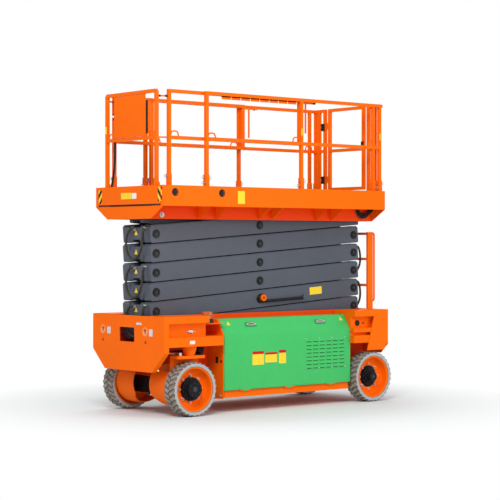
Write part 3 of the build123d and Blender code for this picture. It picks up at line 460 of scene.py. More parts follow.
def away_from_axle(tree, axle_x):
    """How far a point is from a wheel's axle, seen from the side."""
    x, _, z = split(tree, object_place(tree))
    across = maths(tree, "POWER", maths(tree, "SUBTRACT", x, axle_x), 2.0)
    upward = maths(tree, "POWER", maths(tree, "SUBTRACT", z, AXLE_Z), 2.0)
    return maths(tree, "SQRT", maths(tree, "ADD", across, upward))


def black_middle(name, axle_x, edge):
    """Orange paint with black inside a circle about a wheel's axle."""

    def inside(tree):
        return spread(tree, away_from_axle(tree, axle_x), edge, edge + 0.001, 1.0, 0.0)

    return masked(orange_paint, name, inside, BLACK)


def tyre_material(name, axle_x):
    """Scuffed grey rubber, with a smooth paler sidewall and a darker grey in the grooves between the lugs."""

    def beside_middle(tree):
        across = maths(tree, "ABSOLUTE", split(tree, object_place(tree))[1])
        return maths(tree, "ABSOLUTE", maths(tree, "SUBTRACT", across, WHEEL_Y))

    def on_side(tree):
        return spread(tree, beside_middle(tree), TREAD_HALF, TREAD_HALF + 0.001, 0.0, 0.8)

    def in_groove(tree):
        deep = spread(tree, away_from_axle(tree, axle_x), GROOVE_EDGE, GROOVE_EDGE + 0.004, 1.0, 0.0)
        on_tread = spread(tree, beside_middle(tree), TREAD_HALF - 0.002, TREAD_HALF, 1.0, 0.0)
        return maths(tree, "MULTIPLY", deep, on_tread)

    return masked(masked(tyre_rubber, name + "_side", on_side, SIDEWALL), name, in_groove, GROOVE)


front_rim_paint = black_middle("front_rim_paint", FRONT_AXLE_X, HUB_EDGE)
rear_rim_paint = black_middle("rear_rim_paint", REAR_AXLE_X, HUB_EDGE)
knuckle_paint = black_middle("knuckle_paint", FRONT_AXLE_X, MOTOR_EDGE)
front_tyre_rubber = tyre_material("front_tyre_rubber", FRONT_AXLE_X)
rear_tyre_rubber = tyre_material("rear_tyre_rubber", REAR_AXLE_X)


HAZARD_PITCH = 0.078


def hazard_material():
    """Slanted black and yellow bands on a small plate."""
    material = paint("hazard_bands", YELLOW, shade=0.03, dust=0.02, roughness=0.45, chips=0.05)
    tree, target, under = base_colour(material)
    _, across, upward = split(tree, object_place(tree))
    along = maths(tree, "ADD", maths(tree, "ABSOLUTE", across), maths(tree, "MULTIPLY", upward, 0.75))
    turn = maths(tree, "FRACT", maths(tree, "DIVIDE", along, HAZARD_PITCH))
    dark = spread(tree, turn, 0.49, 0.51)
    wire(tree, blend_colours(tree, dark, under, BLACK), target)
    return material


hazard_bands = hazard_material()


def amber_material():
    """Moulded amber plastic that lets some light through."""
    material = rubber("amber_lens", AMBER, scuffs=0.05, grain=300.0, bump=0.1)
    shader = material.node_tree.nodes["Principled BSDF"]
    shader.inputs["Transmission Weight"].default_value = 0.12
    shader.inputs["Coat Weight"].default_value = 0.6
    shader.inputs["Specular IOR Level"].default_value = 0.5
    return material


amber_lens = amber_material()

# Finishes of the CAD nodes by how their names start; the others are plain orange.
NODE_FINISHES = (
    # Painted shade: the wells, the feet of the arms and the rear axle take the shaded orange.
    (shaded_orange_paint, ("chassis_well", "arm_foot", "rear_axle")),
    (steel_metal, ("chassis_tracks", "lower_slide_shoes", "upper_slide_shoes")),
    (black_plastic, ("battery_pack", "pump_unit", "control_box")),
    (black_paint, ("steering_barrel", "tie_rod", "lower_lift_barrel", "upper_lift_barrel")),
    (chrome_metal, ("steering_rod", "lower_lift_rod", "upper_lift_rod")),
    (knuckle_paint, ("knuckle_",)),
    (deck_plate, ("platform_deck", "extension_deck")),
    (green_paint, ("hood_",)),
    (arm_paint, ("inner_arm", "outer_arm")),
    (front_rim_paint, ("rim_front",)),
    (rear_rim_paint, ("rim_rear",)),
    (rail_paint, ("rails", "gate", "extension_rails", "ladder")),
)
for node_name, node_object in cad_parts.items():
    finish = next((material for material, starts in NODE_FINISHES if node_name.startswith(starts)), orange_paint)
    node_object.data.materials.clear()
    node_object.data.materials.append(finish)


def clear_selection():
    """Leave edit mode and deselect every object."""
    if bpy.context.object and bpy.context.object.mode != "OBJECT":
        bpy.ops.object.mode_set(mode="OBJECT")
    bpy.ops.object.select_all(action="DESELECT")


def settle(name):
    """Name the new active object and put its place into its mesh."""
    piece = bpy.context.object
    piece.name = name
    piece.data.name = name
    bpy.ops.object.transform_apply(location=True, rotation=True, scale=True)
    return piece


def pick(piece):
    """Make one piece the only selected and active object."""
    clear_selection()
    piece.select_set(True)
    bpy.context.view_layer.objects.active = piece


def edit_chosen(piece, kind, choose):
    """Enter edit mode with the faces or edges selected that choose picks out of the mesh."""
    pick(piece)
    bpy.ops.object.mode_set(mode="EDIT")
    bpy.ops.mesh.select_mode(type=kind)
    bpy.ops.mesh.select_all(action="DESELECT")
    bpy.ops.object.mode_set(mode="OBJECT")
    choose(piece.data)
    bpy.ops.object.mode_set(mode="EDIT")


def edit_faces(piece, chosen):
    """Enter edit mode with the faces selected for which chosen says yes."""

    def choose(mesh):
        for face in mesh.polygons:
            face.select = chosen(face)

    edit_chosen(piece, "FACE", choose)


def edit_edges(piece, chosen):
    """Enter edit mode with the edges selected for whose two ends chosen says yes."""

    def choose(mesh):
        for edge in mesh.edges:
            edge.select = chosen(*(mesh.vertices[end].co for end in edge.vertices))

    edit_chosen(piece, "EDGE", choose)


def leave_edit():
    """Back to object mode."""
    bpy.ops.object.mode_set(mode="OBJECT")


def close_mesh(smooth):
    """Weld the mesh in edit mode, turn its faces outward and smooth its gentle edges."""
    bpy.ops.mesh.select_all(action="SELECT")
    bpy.ops.mesh.remove_doubles(threshold=0.00001)
    bpy.ops.mesh.normals_make_consistent(inside=False)
    leave_edit()
    bpy.ops.object.shade_smooth_by_angle(angle=radians(smooth))


def round_edges(piece, width, steps=2, sharp=30):
    """Round a piece's sharp edges and smooth its shading."""
    pick(piece)
    rounding = piece.modifiers.new("rounding", "BEVEL")
    rounding.width = width
    rounding.segments = steps
    rounding.limit_method = "ANGLE"
    rounding.angle_limit = radians(sharp)
    bpy.ops.object.modifier_apply(modifier=rounding.name)
    bpy.ops.object.shade_smooth_by_angle(angle=radians(40))
    return piece


def block_piece(name, low, high, rounding=0.002, steps=2):
    """A block between two corners with its edges rounded."""
    clear_selection()
    low, high = Vector(low), Vector(high)
    bpy.ops.mesh.primitive_cube_add(size=1, location=(low + high) / 2, scale=high - low)
    piece = settle(name)
    return round_edges(piece, rounding, steps) if rounding else piece


def plate_piece(name, low, high, corner, along, rounding=0.0006):
    """A thin plate with rounded corners, its thickness along one axis: 0, 1 or 2 for X, Y or Z."""
    piece = block_piece(name, low, high, 0)

    def crosses(first, second):
        return abs(first[along] - second[along]) > 1e-6

    edit_edges(piece, crosses)
    bpy.ops.mesh.bevel(offset=corner, segments=4, affect="EDGES")
    leave_edit()
    return round_edges(piece, rounding, 1)


def rod_piece(name, start, end, radius, sides=16, rounding=0.001):
    """A round or many-sided bar between two points."""
    clear_selection()
    start, end = Vector(start), Vector(end)
    axis = end - start
    turn = axis.to_track_quat("Z", "Y").to_euler()
    bpy.ops.mesh.primitive_cylinder_add(
        vertices=sides, radius=radius, depth=axis.length, location=(start + end) / 2, rotation=turn
    )
    return round_edges(settle(name), rounding, 1)


def turned_piece(name, outline, sides=32, hollow=False, smooth=40):
    """A turned shape about the Y axis, drawn out along pairs of distance and radius."""
    clear_selection()
    at, radius = outline[0]
    bpy.ops.mesh.primitive_circle_add(
        vertices=sides,
        radius=radius,
        fill_type="NOTHING" if hollow else "NGON",
        location=(0, at, 0),
        rotation=(radians(90), 0, 0),
    )
    piece = settle(name)
    bpy.ops.object.mode_set(mode="EDIT")
    bpy.ops.mesh.select_mode(type="EDGE" if hollow else "FACE")
    bpy.ops.mesh.select_all(action="SELECT")
    for next_at, next_radius in outline[1:]:
        if hollow:
            bpy.ops.mesh.extrude_edges_move()
        else:
            bpy.ops.mesh.extrude_region_move()
        bpy.ops.transform.translate(value=(0, next_at - at, 0))
        share = next_radius / radius
        bpy.ops.transform.resize(value=(share, 1, share), center_override=(0, next_at, 0))
        at, radius = next_at, next_radius
    close_mesh(smooth)
    return piece


def tube_piece(name, points, radius, order=3, steps=6):
    """A round tube that bends smoothly along a few points, with closed ends."""
    clear_selection()
    route = bpy.data.curves.new(name, "CURVE")
    route.dimensions = "3D"
    route.bevel_depth = radius
    route.bevel_resolution = 3
    route.resolution_u = steps
    route.use_fill_caps = True
    spline = route.splines.new("NURBS")
    spline.points.add(len(points) - 1)
    for knot, point in zip(spline.points, points):
        knot.co = (*point, 1.0)
    spline.order_u = order
    spline.use_endpoint_u = True
    piece = bpy.data.objects.new(name, route)
    bpy.context.scene.collection.objects.link(piece)
    pick(piece)
    bpy.ops.object.convert(target="MESH")
    piece = bpy.context.object
    bpy.ops.object.mode_set(mode="EDIT")
    close_mesh(50)
    return piece


def copy_of(piece, matrix, name=None):
    """A copy of a piece with its own mesh, moved by a matrix."""
    twin = piece.copy()
    twin.data = piece.data.copy()
    twin.data.transform(matrix)
    if matrix.determinant() < 0:
        twin.data.flip_normals()
    if name:
        twin.name = name
        twin.data.name = name
    bpy.context.scene.collection.objects.link(twin)
    return twin


def moved(x=0.0, y=0.0, z=0.0):
    """A move along the axes."""
    return Matrix.Translation((x, y, z))


def turned(degrees_round, axis):
    """A turn about one axis through the origin."""
    return Matrix.Rotation(radians(degrees_round), 4, axis)


MIRROR_Y = Matrix.Diagonal((1, -1, 1, 1))
MIRROR_X = Matrix.Diagonal((-1, 1, 1, 1))


def join(name, pieces):
    """Several pieces as one mesh."""
    clear_selection()
    for piece in pieces:
        piece.select_set(True)
    bpy.context.view_layer.objects.active = pieces[0]
    bpy.ops.object.join()
    piece = bpy.context.object
    piece.name = name
    piece.data.name = name
    return piece


def drop(*pieces):
    """Take away a pattern piece that was only copied from."""
    for piece in pieces:
        bpy.data.objects.remove(piece)


def scattered(name, pattern, places):
    """Copies of a pattern at some places, joined; the pattern goes."""
    copies = [copy_of(pattern, place) for place in places]
    drop(pattern)
    return join(name, copies)


def ring_of(name, pattern, count, start=0.0):
    """Copies of a pattern round the Y axis, joined."""
    return scattered(name, pattern, [turned(start + 360 / count * step, "Y") for step in range(count)])


def dress(piece, material, body):
    """Give a finished piece its material and the body that it rides on."""
    piece.data.materials.clear()
    piece.data.materials.append(material)
    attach(piece, body)
    return piece


def on_both_sides(piece, material, body):
    """Dress a left piece and its mirror image, on a body's left and right one where it has two."""
    twin = copy_of(piece, MIRROR_Y, piece.name.replace("left", "right"))
    dress(piece, material, body)
    dress(twin, material, body.replace("left", "right"))


# Tyres: a moulded carcass with two rows of slanted lugs, set half a pitch apart.
TYRE_OUTLINE = (
    (-0.083, 0.2276),
    (-0.0885, 0.2400),
    (-0.0885, 0.2450),
    (-0.0870, 0.2470),
    (-0.0885, 0.2500),
    (-0.0885, 0.2580),
    (-0.0860, 0.2640),
    (-0.0760, 0.2660),
    (0.0760, 0.2660),
    (0.0860, 0.2640),
    (0.0885, 0.2580),
    (0.0885, 0.2500),
    (0.0870, 0.2470),
    (0.0885, 0.2450),
    (0.0885, 0.2400),
    (0.083, 0.2276),
    (-0.083, 0.2276),
)
LUG_COUNT = 30
LUG_WIDTH = 0.032
LUG_START, LUG_MIDDLE, LUG_END = 0.003, 0.044, 0.084
LUG_FOOT, LUG_TOP = 0.258, 0.2781
LUG_SLANT = 24


def build_tyre():
    """One tyre about the origin, its axis along Y."""
    carcass = turned_piece("tyre_carcass", TYRE_OUTLINE, 72, hollow=True, smooth=35)
    lug = block_piece("lug", (-LUG_WIDTH / 2, LUG_START, LUG_FOOT), (LUG_WIDTH / 2, LUG_END, LUG_TOP), 0)
    edit_faces(lug, lambda face: face.normal.y > 0.9)
    bpy.ops.transform.resize(value=(1.15, 1, 0.75), center_override=(0, LUG_END, LUG_FOOT))
    bpy.ops.transform.translate(value=(0, 0.004, 0))
    leave_edit()
    round_edges(lug, 0.0022, 1)
    slanted = moved(0, LUG_MIDDLE) @ turned(LUG_SLANT, "Z") @ moved(0, -LUG_MIDDLE)
    left = copy_of(lug, slanted)
    right = copy_of(lug, turned(180 / LUG_COUNT, "Y") @ MIRROR_Y @ slanted)
    drop(lug)
    pair = join("lug_pair", [left, right])
    lugs = ring_of("tyre_lugs", pair, LUG_COUNT)
    return join("tyre", [carcass, lugs])


def wheel_spot(axle_x, turn, inward=0.0):
    """A wheel's place: its axle and side, with Y outward."""
    return moved(axle_x, 0, AXLE_Z) @ turned(turn, "Z") @ moved(0, WHEEL_Y - inward)


tyre_pattern = build_tyre()
for place, axle_x, finish in (
    ("front", FRONT_AXLE_X, front_tyre_rubber),
    ("rear", REAR_AXLE_X, rear_tyre_rubber),
):
    for side, turn in SIDES:
        piece = copy_of(tyre_pattern, wheel_spot(axle_x, turn), f"lugged_tyre_{place}_{side}")
        dress(piece, finish, f"wheel_{place}_{side}")
        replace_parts(piece, f"tyre_{place}_{side}")
drop(tyre_pattern)

# Wheel nuts on the studs, and the bolts of the hubs.
RIM_INSET = 0.006
STUD_RING = 0.138
NUT_COUNT = 8
# Rings of bolts on a hub: their radius, the step they stand on, how many, and how large.
HUB_BOLTS = {
    "front": ((0.112, 0.034, 16, 0.0042), (0.095, 0.046, 10, 0.0045), (0.066, 0.091, 8, 0.0055)),
    "rear": ((0.089, 0.018, 10, 0.0048), (0.065, 0.034, 8, 0.0045), (0.036, 0.091, 6, 0.0045)),
}
CAP_RADIUS = {"front": 0.028, "rear": 0.018}


def build_wheel_nuts():
    """Eight flanged nuts on a stud ring about the origin."""
    nut = rod_piece("nut", (0, 0.002, STUD_RING), (0, 0.018, STUD_RING), 0.0155, 6, 0.0014)
    collar = rod_piece("collar", (0, 0, STUD_RING), (0, 0.004, STUD_RING), 0.0190, 20, 0.0008)
    return ring_of("wheel_nuts", join("nut_and_collar", [nut, collar]), NUT_COUNT, 90)


def build_hub_bolts(place):
    """The bolt heads on the steps of one hub, with the plug in its middle."""
    rings = []
    for ring, foot, count, size in HUB_BOLTS[place]:
        head = rod_piece("bolt_head", (0, foot - 0.001, ring), (0, foot + 0.0045, ring), size, 6, 0.0006)
        rings.append(ring_of("bolt_ring", head, count, 11.0))
    top = HUB_BOLTS[place][-1][1]
    cap = CAP_RADIUS[place]
    face = top + 0.0008
    plug = turned_piece("hub_plug", ((top - 0.001, cap), (top, cap), (face, cap - 0.001), (face, cap * 0.6)), 24)
    return join("hub_bolts", rings + [plug])


nuts_pattern = build_wheel_nuts()
for place, axle_x in (("front", FRONT_AXLE_X), ("rear", REAR_AXLE_X)):
    bolts_pattern = build_hub_bolts(place)
    for side, turn in SIDES:
        spot = wheel_spot(axle_x, turn, RIM_INSET)
        body = f"wheel_{place}_{side}"
        dress(copy_of(nuts_pattern, spot, f"wheel_nuts_{place}_{side}"), zinc_metal, body)
        dress(copy_of(bolts_pattern, spot, f"hub_bolts_{place}_{side}"), bolt_paint, body)
    drop(bolts_pattern)
drop(nuts_pattern)

# The side hoods: louvred panel, screws, blank labels and recessed handles.
HOOD_Y = 0.565
LOUVRE_X = (-0.371, -0.852)
LOUVRE_Z = (0.424, 0.712)
LOUVRE_COLUMNS = 6
LOUVRE_ROWS = 8
LOUVRE_HALF = 0.0365
PANEL_X = (-0.916, -0.312)
PANEL_Z = (0.400, 0.747)
PANEL_THICKNESS = 0.0016
SLOPE_TURN = 31.17
SLOPE_FOOT = (0.565, 0.812)
SLOPE_RISE = 101 / 167


def spaced(first, last, count):
    """Evenly spaced values from the first to the last."""
    return [first + (last - first) * place / (count - 1) for place in range(count)]


def build_louvre():
    """One pressed louvre at the origin that stands out at its lower edge."""
    louvre = block_piece("louvre", (-LOUVRE_HALF, 0, -0.007), (LOUVRE_HALF, 0.0105, 0.012), 0)
    edit_edges(louvre, lambda first, second: min(first.y, second.y) > 0.007 and min(first.z, second.z) > 0)
    bpy.ops.transform.translate(value=(0, -0.0085, 0))
    leave_edit()
    edit_faces(louvre, lambda face: face.normal.y > 0.5)
    bpy.ops.transform.resize(value=(0.9, 1, 1), center_override=(0, 0, 0))
    leave_edit()
    return round_edges(louvre, 0.0022, 2)


def build_louvres():
    """The panel with its rows of louvres, and dark pieces of painted shade in the slots under them."""
    louvre = build_louvre()
    slot_low, slot_high = (-LOUVRE_HALF + 0.002, 0, -0.0150), (LOUVRE_HALF - 0.002, 0.0018, -0.0065)
    slot = block_piece("slot", slot_low, slot_high, 0.0006, 1)
    louvres, slot_shades = [], []
    for x in spaced(*LOUVRE_X, LOUVRE_COLUMNS):
        for z in spaced(*LOUVRE_Z, LOUVRE_ROWS):
            spot = moved(x, HOOD_Y + 0.001, z)
            louvres.append(copy_of(louvre, spot))
            slot_shades.append(copy_of(slot, spot))
    panel = plate_piece(
        "panel",
        (PANEL_X[0], HOOD_Y - 0.0005, PANEL_Z[0]),
        (PANEL_X[1], HOOD_Y + PANEL_THICKNESS, PANEL_Z[1]),
        0.012,
        1,
    )
    drop(louvre, slot)
    on_both_sides(join("louvre_panel_left", [panel] + louvres), green_paint, "hood_left")
    # The slot pieces are dark green as painted shade.
    on_both_sides(join("louvre_slots_left", slot_shades), louvre_slot_shade, "hood_left")


def screw_head(radius, height=0.003):
    """A round screw head at the origin that looks along Y."""
    outline = (
        (-0.001, radius),
        (height * 0.4, radius),
        (height, radius * 0.7),
        (height, radius * 0.4),
        (height * 0.5, radius * 0.3),
    )
    return turned_piece("screw_head", outline, 14)


def slope_place(x, z, out=0.0):
    """A place on the hood's slope, with Y standing off it."""
    y = SLOPE_FOOT[0] - (z - SLOPE_FOOT[1]) * SLOPE_RISE
    return moved(x, y, z) @ turned(SLOPE_TURN, "X") @ moved(0, out)


def triangle_piece(name, radius, at=(0, 0, 0), turn=0):
    """A thin blank triangle that stands on one side and looks along Y, or turned about Z."""
    clear_selection()
    bpy.ops.mesh.primitive_cylinder_add(
        vertices=3, radius=radius, depth=0.0012, location=at, rotation=(radians(90), 0, radians(turn))
    )
    return round_edges(settle(name), 0.0003, 1)


GRIP_POINTS = (
    (-0.062, 0.012, -0.002),
    (-0.048, 0.014, 0.011),
    (0.048, 0.014, 0.011),
    (0.062, 0.012, -0.002),
    (0.048, 0.012, -0.013),
    (-0.048, 0.012, -0.013),
    (-0.062, 0.012, -0.002),
)


def build_handle():
    """A handle at the origin: a dished plate, and an oval ring on two lugs."""
    dish = plate_piece("dish", (-0.081, -0.0005, -0.027), (0.081, 0.0032, 0.027), 0.018, 1, 0.0008)
    edit_faces(dish, lambda face: face.normal.y > 0.99)
    bpy.ops.mesh.inset(thickness=0.005)
    bpy.ops.transform.translate(value=(0, -0.0026, 0))
    leave_edit()
    ends = []
    for x in (-0.052, 0.052):
        ends.append(block_piece("end", (x - 0.008, 0.0005, -0.010), (x + 0.008, 0.013, 0.008), 0.002))
    return dish, join("grip", ends + [tube_piece("bow", GRIP_POINTS, 0.0062)])


def front_label(name, body, x, y, z, material, corner=0.003, thickness=0.0008):
    """A blank sticker on a face that looks forward at x, between two values of y and of z."""
    piece = plate_piece(name, (x - 0.0002, y[0], z[0]), (x + thickness, y[1], z[1]), corner, 0, 0.0002)
    dress(piece, material, body)


def side_label(name, x, z, y, material, body, corner=0.003):
    """A blank sticker on the left side that stands on the plane y, and its mirror image."""
    piece = plate_piece(name, (min(x), y - 0.0004, min(z)), (max(x), y + 0.0008, max(z)), corner, 1, 0.0002)
    on_both_sides(piece, material, body)


build_louvres()
screw = screw_head(0.0065)
screw_spots = []
for x in spaced(PANEL_X[0] + 0.014, PANEL_X[1] - 0.014, 4):
    for z in (PANEL_Z[0] + 0.012, PANEL_Z[1] - 0.012):
        screw_spots.append(moved(x, HOOD_Y + PANEL_THICKNESS, z))
on_both_sides(scattered("hood_screws_left", screw, screw_spots), zinc_metal, "hood_left")

dish_pattern, grip_pattern = build_handle()
for count, x in enumerate((0.4035, -0.580)):
    spot = slope_place(x, 0.9115)
    # The dish takes the darker green as painted shade in its recess.
    on_both_sides(copy_of(dish_pattern, spot, f"handle_dish_left_{count}"), shaded_dish_green, "hood_left")
    on_both_sides(copy_of(grip_pattern, spot, f"handle_grip_left_{count}"), zinc_metal, "hood_left")
drop(dish_pattern, grip_pattern)

HOOD_LABELS = ((0.269, 0.428, 0.485, 0.629), (0.087, 0.251, 0.503, 0.611), (-0.040, 0.059, 0.486, 0.630))
for count, (left, right, foot, top) in enumerate(HOOD_LABELS):
    head = top - (top - foot) * 0.22
    side_label(f"hood_label_left_{count}", (left, right), (foot, head), HOOD_Y, yellow_label, "hood_left")
    side_label(f"hood_label_head_left_{count}", (left, right), (head + 0.001, top), HOOD_Y, red_label, "hood_left")

for count, (x, z) in enumerate(((0.700, 0.926), (-0.905, 0.930))):
    mark = triangle_piece("mark", 0.030)
    lifted = copy_of(mark, slope_place(x, z, 0.0002), f"slope_mark_left_{count}")
    drop(mark)
    on_both_sides(lifted, yellow_label, "hood_left")

# Latches and a drain bolt on the end of each side compartment.
TO_FRONT = turned(-90, "Z")
latch = plate_piece("latch", (0.8215, 0.440, 0.520), (0.8235, 0.480, 0.585), 0.004, 0)
knob = turned_piece("knob", ((0, 0.012), (0.008, 0.012), (0.010, 0.010)), 20)
knobs = [copy_of(knob, moved(0.8225, y, z) @ TO_FRONT) for y, z in ((0.460, 0.552), (0.534, 0.542))]
on_both_sides(join("end_latches_left", [latch] + knobs), black_paint, "chassis")
drain = screw_head(0.011, 0.006)
placed_drain = copy_of(drain, moved(0.822, 0.522, 0.187) @ TO_FRONT, "drain_bolt_left")
on_both_sides(placed_drain, zinc_metal, "chassis")
drop(knob, drain)

# The front of the frame: rings, dishes and bows of the tie-downs, blank labels and marks.
FRONT_X = 1.636
TIE_Y = (-0.450, 0.304)
TIE_Z = 0.868
TIE_RING = (
    (0.0, 0.0265),
    (0.0, 0.048),
    (0.003, 0.049),
    (0.006, 0.046),
    (0.006, 0.030),
    (0.003, 0.0265),
    (0.0, 0.0265),
)
TIE_DISH = ((-0.036, 0.034), (-0.030, 0.036), (-0.011, 0.036), (-0.011, 0.026), (-0.026, 0.020))
TIE_BOW = (
    (-0.016, 0.018, 0.012),
    (-0.002, 0.020, 0.010),
    (0.001, 0.018, -0.030),
    (0.001, 0.0, -0.040),
    (0.001, -0.018, -0.030),
    (-0.002, -0.020, 0.010),
    (-0.016, -0.018, 0.012),
)
tie_spots = [moved(FRONT_X, y, TIE_Z) for y in TIE_Y]
# The rings take a paler orange as a painted highlight on their rims.
ring = turned_piece("tie_ring", TIE_RING, 36, hollow=True)
rings = scattered("tie_down_rings", ring, [spot @ moved(-0.002) @ TO_FRONT for spot in tie_spots])
dress(rings, ring_highlight_paint, "chassis")
# Painted shade: the dishes behind the tie-down holes take the shaded orange.
dish = turned_piece("tie_dish", TIE_DISH, 28)
dishes = scattered("tie_down_dishes", dish, [spot @ TO_FRONT for spot in tie_spots])
dress(dishes, shaded_orange_paint, "chassis")
bows = scattered("tie_down_bows", tube_piece("tie_bow", TIE_BOW, 0.0045), tie_spots)
dress(bows, zinc_metal, "chassis")
for name, y, z in (
    ("front_label_right", (-0.372, -0.310), (0.826, 0.896)),
    ("front_label_left", (0.374, 0.434), (0.826, 0.896)),
    ("front_label_top", (0.152, 0.243), (0.934, 0.957)),
):
    front_label(name, "chassis", FRONT_X, y, z, pale_label)
for count, y in enumerate((-0.450, 0.313)):
    dress(triangle_piece(f"front_mark_{count}", 0.026, (FRONT_X, y, 0.760), 90), burnt_paint, "chassis")

# What the open bays over the front wheels hold, and the blank label on the beam below.
side_label("beam_label_left", (1.248, 1.313), (0.744, 0.778), 0.636, white_label, "chassis")
fitting = block_piece("fitting", (1.232, 0.5695, 0.857), (1.292, 0.5850, 0.882), 0.004)
lever = rod_piece("fitting_lever", (1.205, 0.581, 0.866), (1.318, 0.581, 0.874), 0.0055, 14, 0.002)
stop = rod_piece("fitting_knob", (1.247, 0.5700, 0.856), (1.247, 0.5900, 0.856), 0.0085, 16, 0.002)
on_both_sides(join("bay_fitting_left", [fitting, lever, stop]), zinc_metal, "chassis")
valve = block_piece("valve_block_left", (0.955, 0.330, 0.640), (1.035, 0.410, 0.690), 0.004)
on_both_sides(valve, black_plastic, "chassis")

# Bolts of the beam over each rear wheel.
head = rod_piece("head", (0, -0.001, 0), (0, 0.006, 0), 0.008, 6, 0.0008)
washer = rod_piece("washer", (0, -0.001, 0), (0, 0.0015, 0), 0.0116, 20, 0.0004)
bolt = join("head_and_washer", [head, washer])
for name, turn in (("rear_beam_bolts", 0), ("rear_beam_bolts_right", 180)):
    sign = -1 if turn else 1
    spots = [(x, sign * 0.626, z) for x in (-1.06, -1.13) for z in (0.705, 0.804)]
    heads = [copy_of(bolt, moved(*spot) @ turned(turn, "Z")) for spot in spots]
    dress(join(name, heads), orange_paint, "chassis")
drop(bolt)

# The socket and, as painted shade, a black disc for the hole in the panel over each rear wheel.
SOCKET_OUTLINE = (
    (-0.001, 0.033),
    (0.006, 0.033),
    (0.008, 0.031),
    (0.008, 0.024),
    (0.002, 0.022),
    (0.002, 0.008),
    (0.007, 0.007),
)
HOLE_SHADE_SCALE = Matrix.Diagonal((0.35, 0.2, 0.35, 1))
socket_ring = turned_piece("socket", SOCKET_OUTLINE, 28)
rear_socket = copy_of(socket_ring, moved(-1.083, 0.570, 0.883), "rear_socket_left")
# Painted shade: a flattened black disc stands for the shade inside the hole.
rear_hole_shade = copy_of(socket_ring, moved(-1.175, 0.570, 0.880) @ HOLE_SHADE_SCALE, "rear_plug_left")
drop(socket_ring)
on_both_sides(rear_socket, black_plastic, "chassis")
on_both_sides(rear_hole_shade, black_rubber, "chassis")

# The warning lamp on its flared foot.
LAMP_LOW, LAMP_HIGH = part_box("beacon")
LAMP_X = (LAMP_LOW.x + LAMP_HIGH.x) / 2
LAMP_Y = (LAMP_LOW.y + LAMP_HIGH.y) / 2
LAMP_FOOT = ((0.0, 0.069), (0.004, 0.069), (0.010, 0.0665), (0.034, 0.0595), (0.040, 0.060), (0.043, 0.0575))
LAMP_LENS = (
    (0.040, 0.056),
    (0.044, 0.056),
    (0.100, 0.0545),
    (0.110, 0.051),
    (0.116, 0.043),
    (0.1195, 0.028),
    (0.1202, 0.010),
)
for name, outline, finish, slot in (
    ("beacon_foot", LAMP_FOOT, black_plastic, "black_plastic"),
    ("beacon_lens", LAMP_LENS, amber_lens, "amber"),
):
    upright = turned_piece("lamp", outline, 40)
    piece = copy_of(upright, moved(LAMP_X, LAMP_Y, LAMP_LOW.z) @ turned(90, "X"), name)
    drop(upright)
    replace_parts(dress(piece, finish, "chassis"), "beacon")

# The arms: pin caps on the outer beams, triangles on the ends, hoses across the front and rear pins.
ARM_LENGTH = 2.792
STAGE_RISE = 0.2
STAGES = 6
REAR_PIN_X = -1.334
LOW_PIN_Z = 0.867
ARM_RUN = (ARM_LENGTH**2 - STAGE_RISE**2) ** 0.5
FRONT_PIN_X = REAR_PIN_X + ARM_RUN
MID_X = REAR_PIN_X + ARM_RUN / 2
ARM_TILT = atan2(STAGE_RISE, ARM_RUN)
OUTER_Y = 0.245
FRONT_END_X = FRONT_PIN_X + 0.0695
CAP_OUTLINE = (
    (-0.001, 0.0445),
    (0.0075, 0.0445),
    (0.0094, 0.0425),
    (0.0094, 0.0340),
    (0.0091, 0.0325),
    (0.0091, 0.0230),
    (0.0105, 0.0215),
    (0.0105, 0.0090),
)


def build_pin_caps():
    """The black caps over the pins of the outer beams, with a ring and two bolts on each."""
    cap = turned_piece("cap", CAP_OUTLINE, 32)
    bolt = rod_piece("bolt", (0, 0.008, 0), (0, 0.0104, 0), 0.0052, 6, 0.0005)
    middle = turned_piece("middle", ((0.0085, 0.0125), (0.0106, 0.0125), (0.0108, 0.0115), (0.0108, 0.006)), 18)
    for stage in range(STAGES):
        middle_z = LOW_PIN_Z + STAGE_RISE * (stage + 0.5)
        spots = [(REAR_PIN_X, middle_z + STAGE_RISE / 2), (MID_X, middle_z)]
        if stage > 0:
            spots.append((FRONT_PIN_X, middle_z - STAGE_RISE / 2))
        caps = [copy_of(cap, moved(x, OUTER_Y, z)) for x, z in spots]
        caps += [copy_of(cap, MIRROR_Y @ moved(x, OUTER_Y, z)) for x, z in spots]
        dress(join(f"pin_caps_{stage + 1}", caps), cap_paint, f"outer_arms_{stage + 1}")
        bolts = [copy_of(bolt, moved(x, OUTER_Y, z + shift)) for x, z in spots for shift in (0.027, -0.027)]
        bolts += [copy_of(middle, moved(x, OUTER_Y, z)) for x, z in spots]
        bolts += [copy_of(near, MIRROR_Y) for near in tuple(bolts)]
        dress(join(f"pin_bolts_{stage + 1}", bolts), bolt_paint, f"outer_arms_{stage + 1}")
    drop(cap, bolt, middle)


def build_beam_caps():
    """The thin cap plates along the tops of the outer beams."""
    reach = ARM_LENGTH / 2 + 0.055
    cap = block_piece("cap_plate", (-reach, OUTER_Y - 0.118, 0.0885), (reach, OUTER_Y - 0.002, 0.0985), 0.003)
    for stage in range(STAGES):
        spot = moved(MID_X, 0, LOW_PIN_Z + STAGE_RISE * (stage + 0.5)) @ Matrix.Rotation(ARM_TILT, 4, "Y")
        caps = [copy_of(cap, spot), copy_of(cap, spot @ MIRROR_Y)]
        dress(join(f"beam_caps_{stage + 1}", caps), arm_paint, f"outer_arms_{stage + 1}")
    drop(cap)


def build_end_marks():
    """Blank yellow triangles on the front end plates of the inner arms."""
    mark = triangle_piece("mark", 0.034, turn=90)
    for stage in range(1, STAGES):
        spot = moved(FRONT_END_X + 0.001, -0.012, LOW_PIN_Z + STAGE_RISE * stage + 0.006)
        dress(copy_of(mark, spot, f"end_mark_{stage}"), yellow_label, f"inner_arms_{stage}")
    drop(mark)


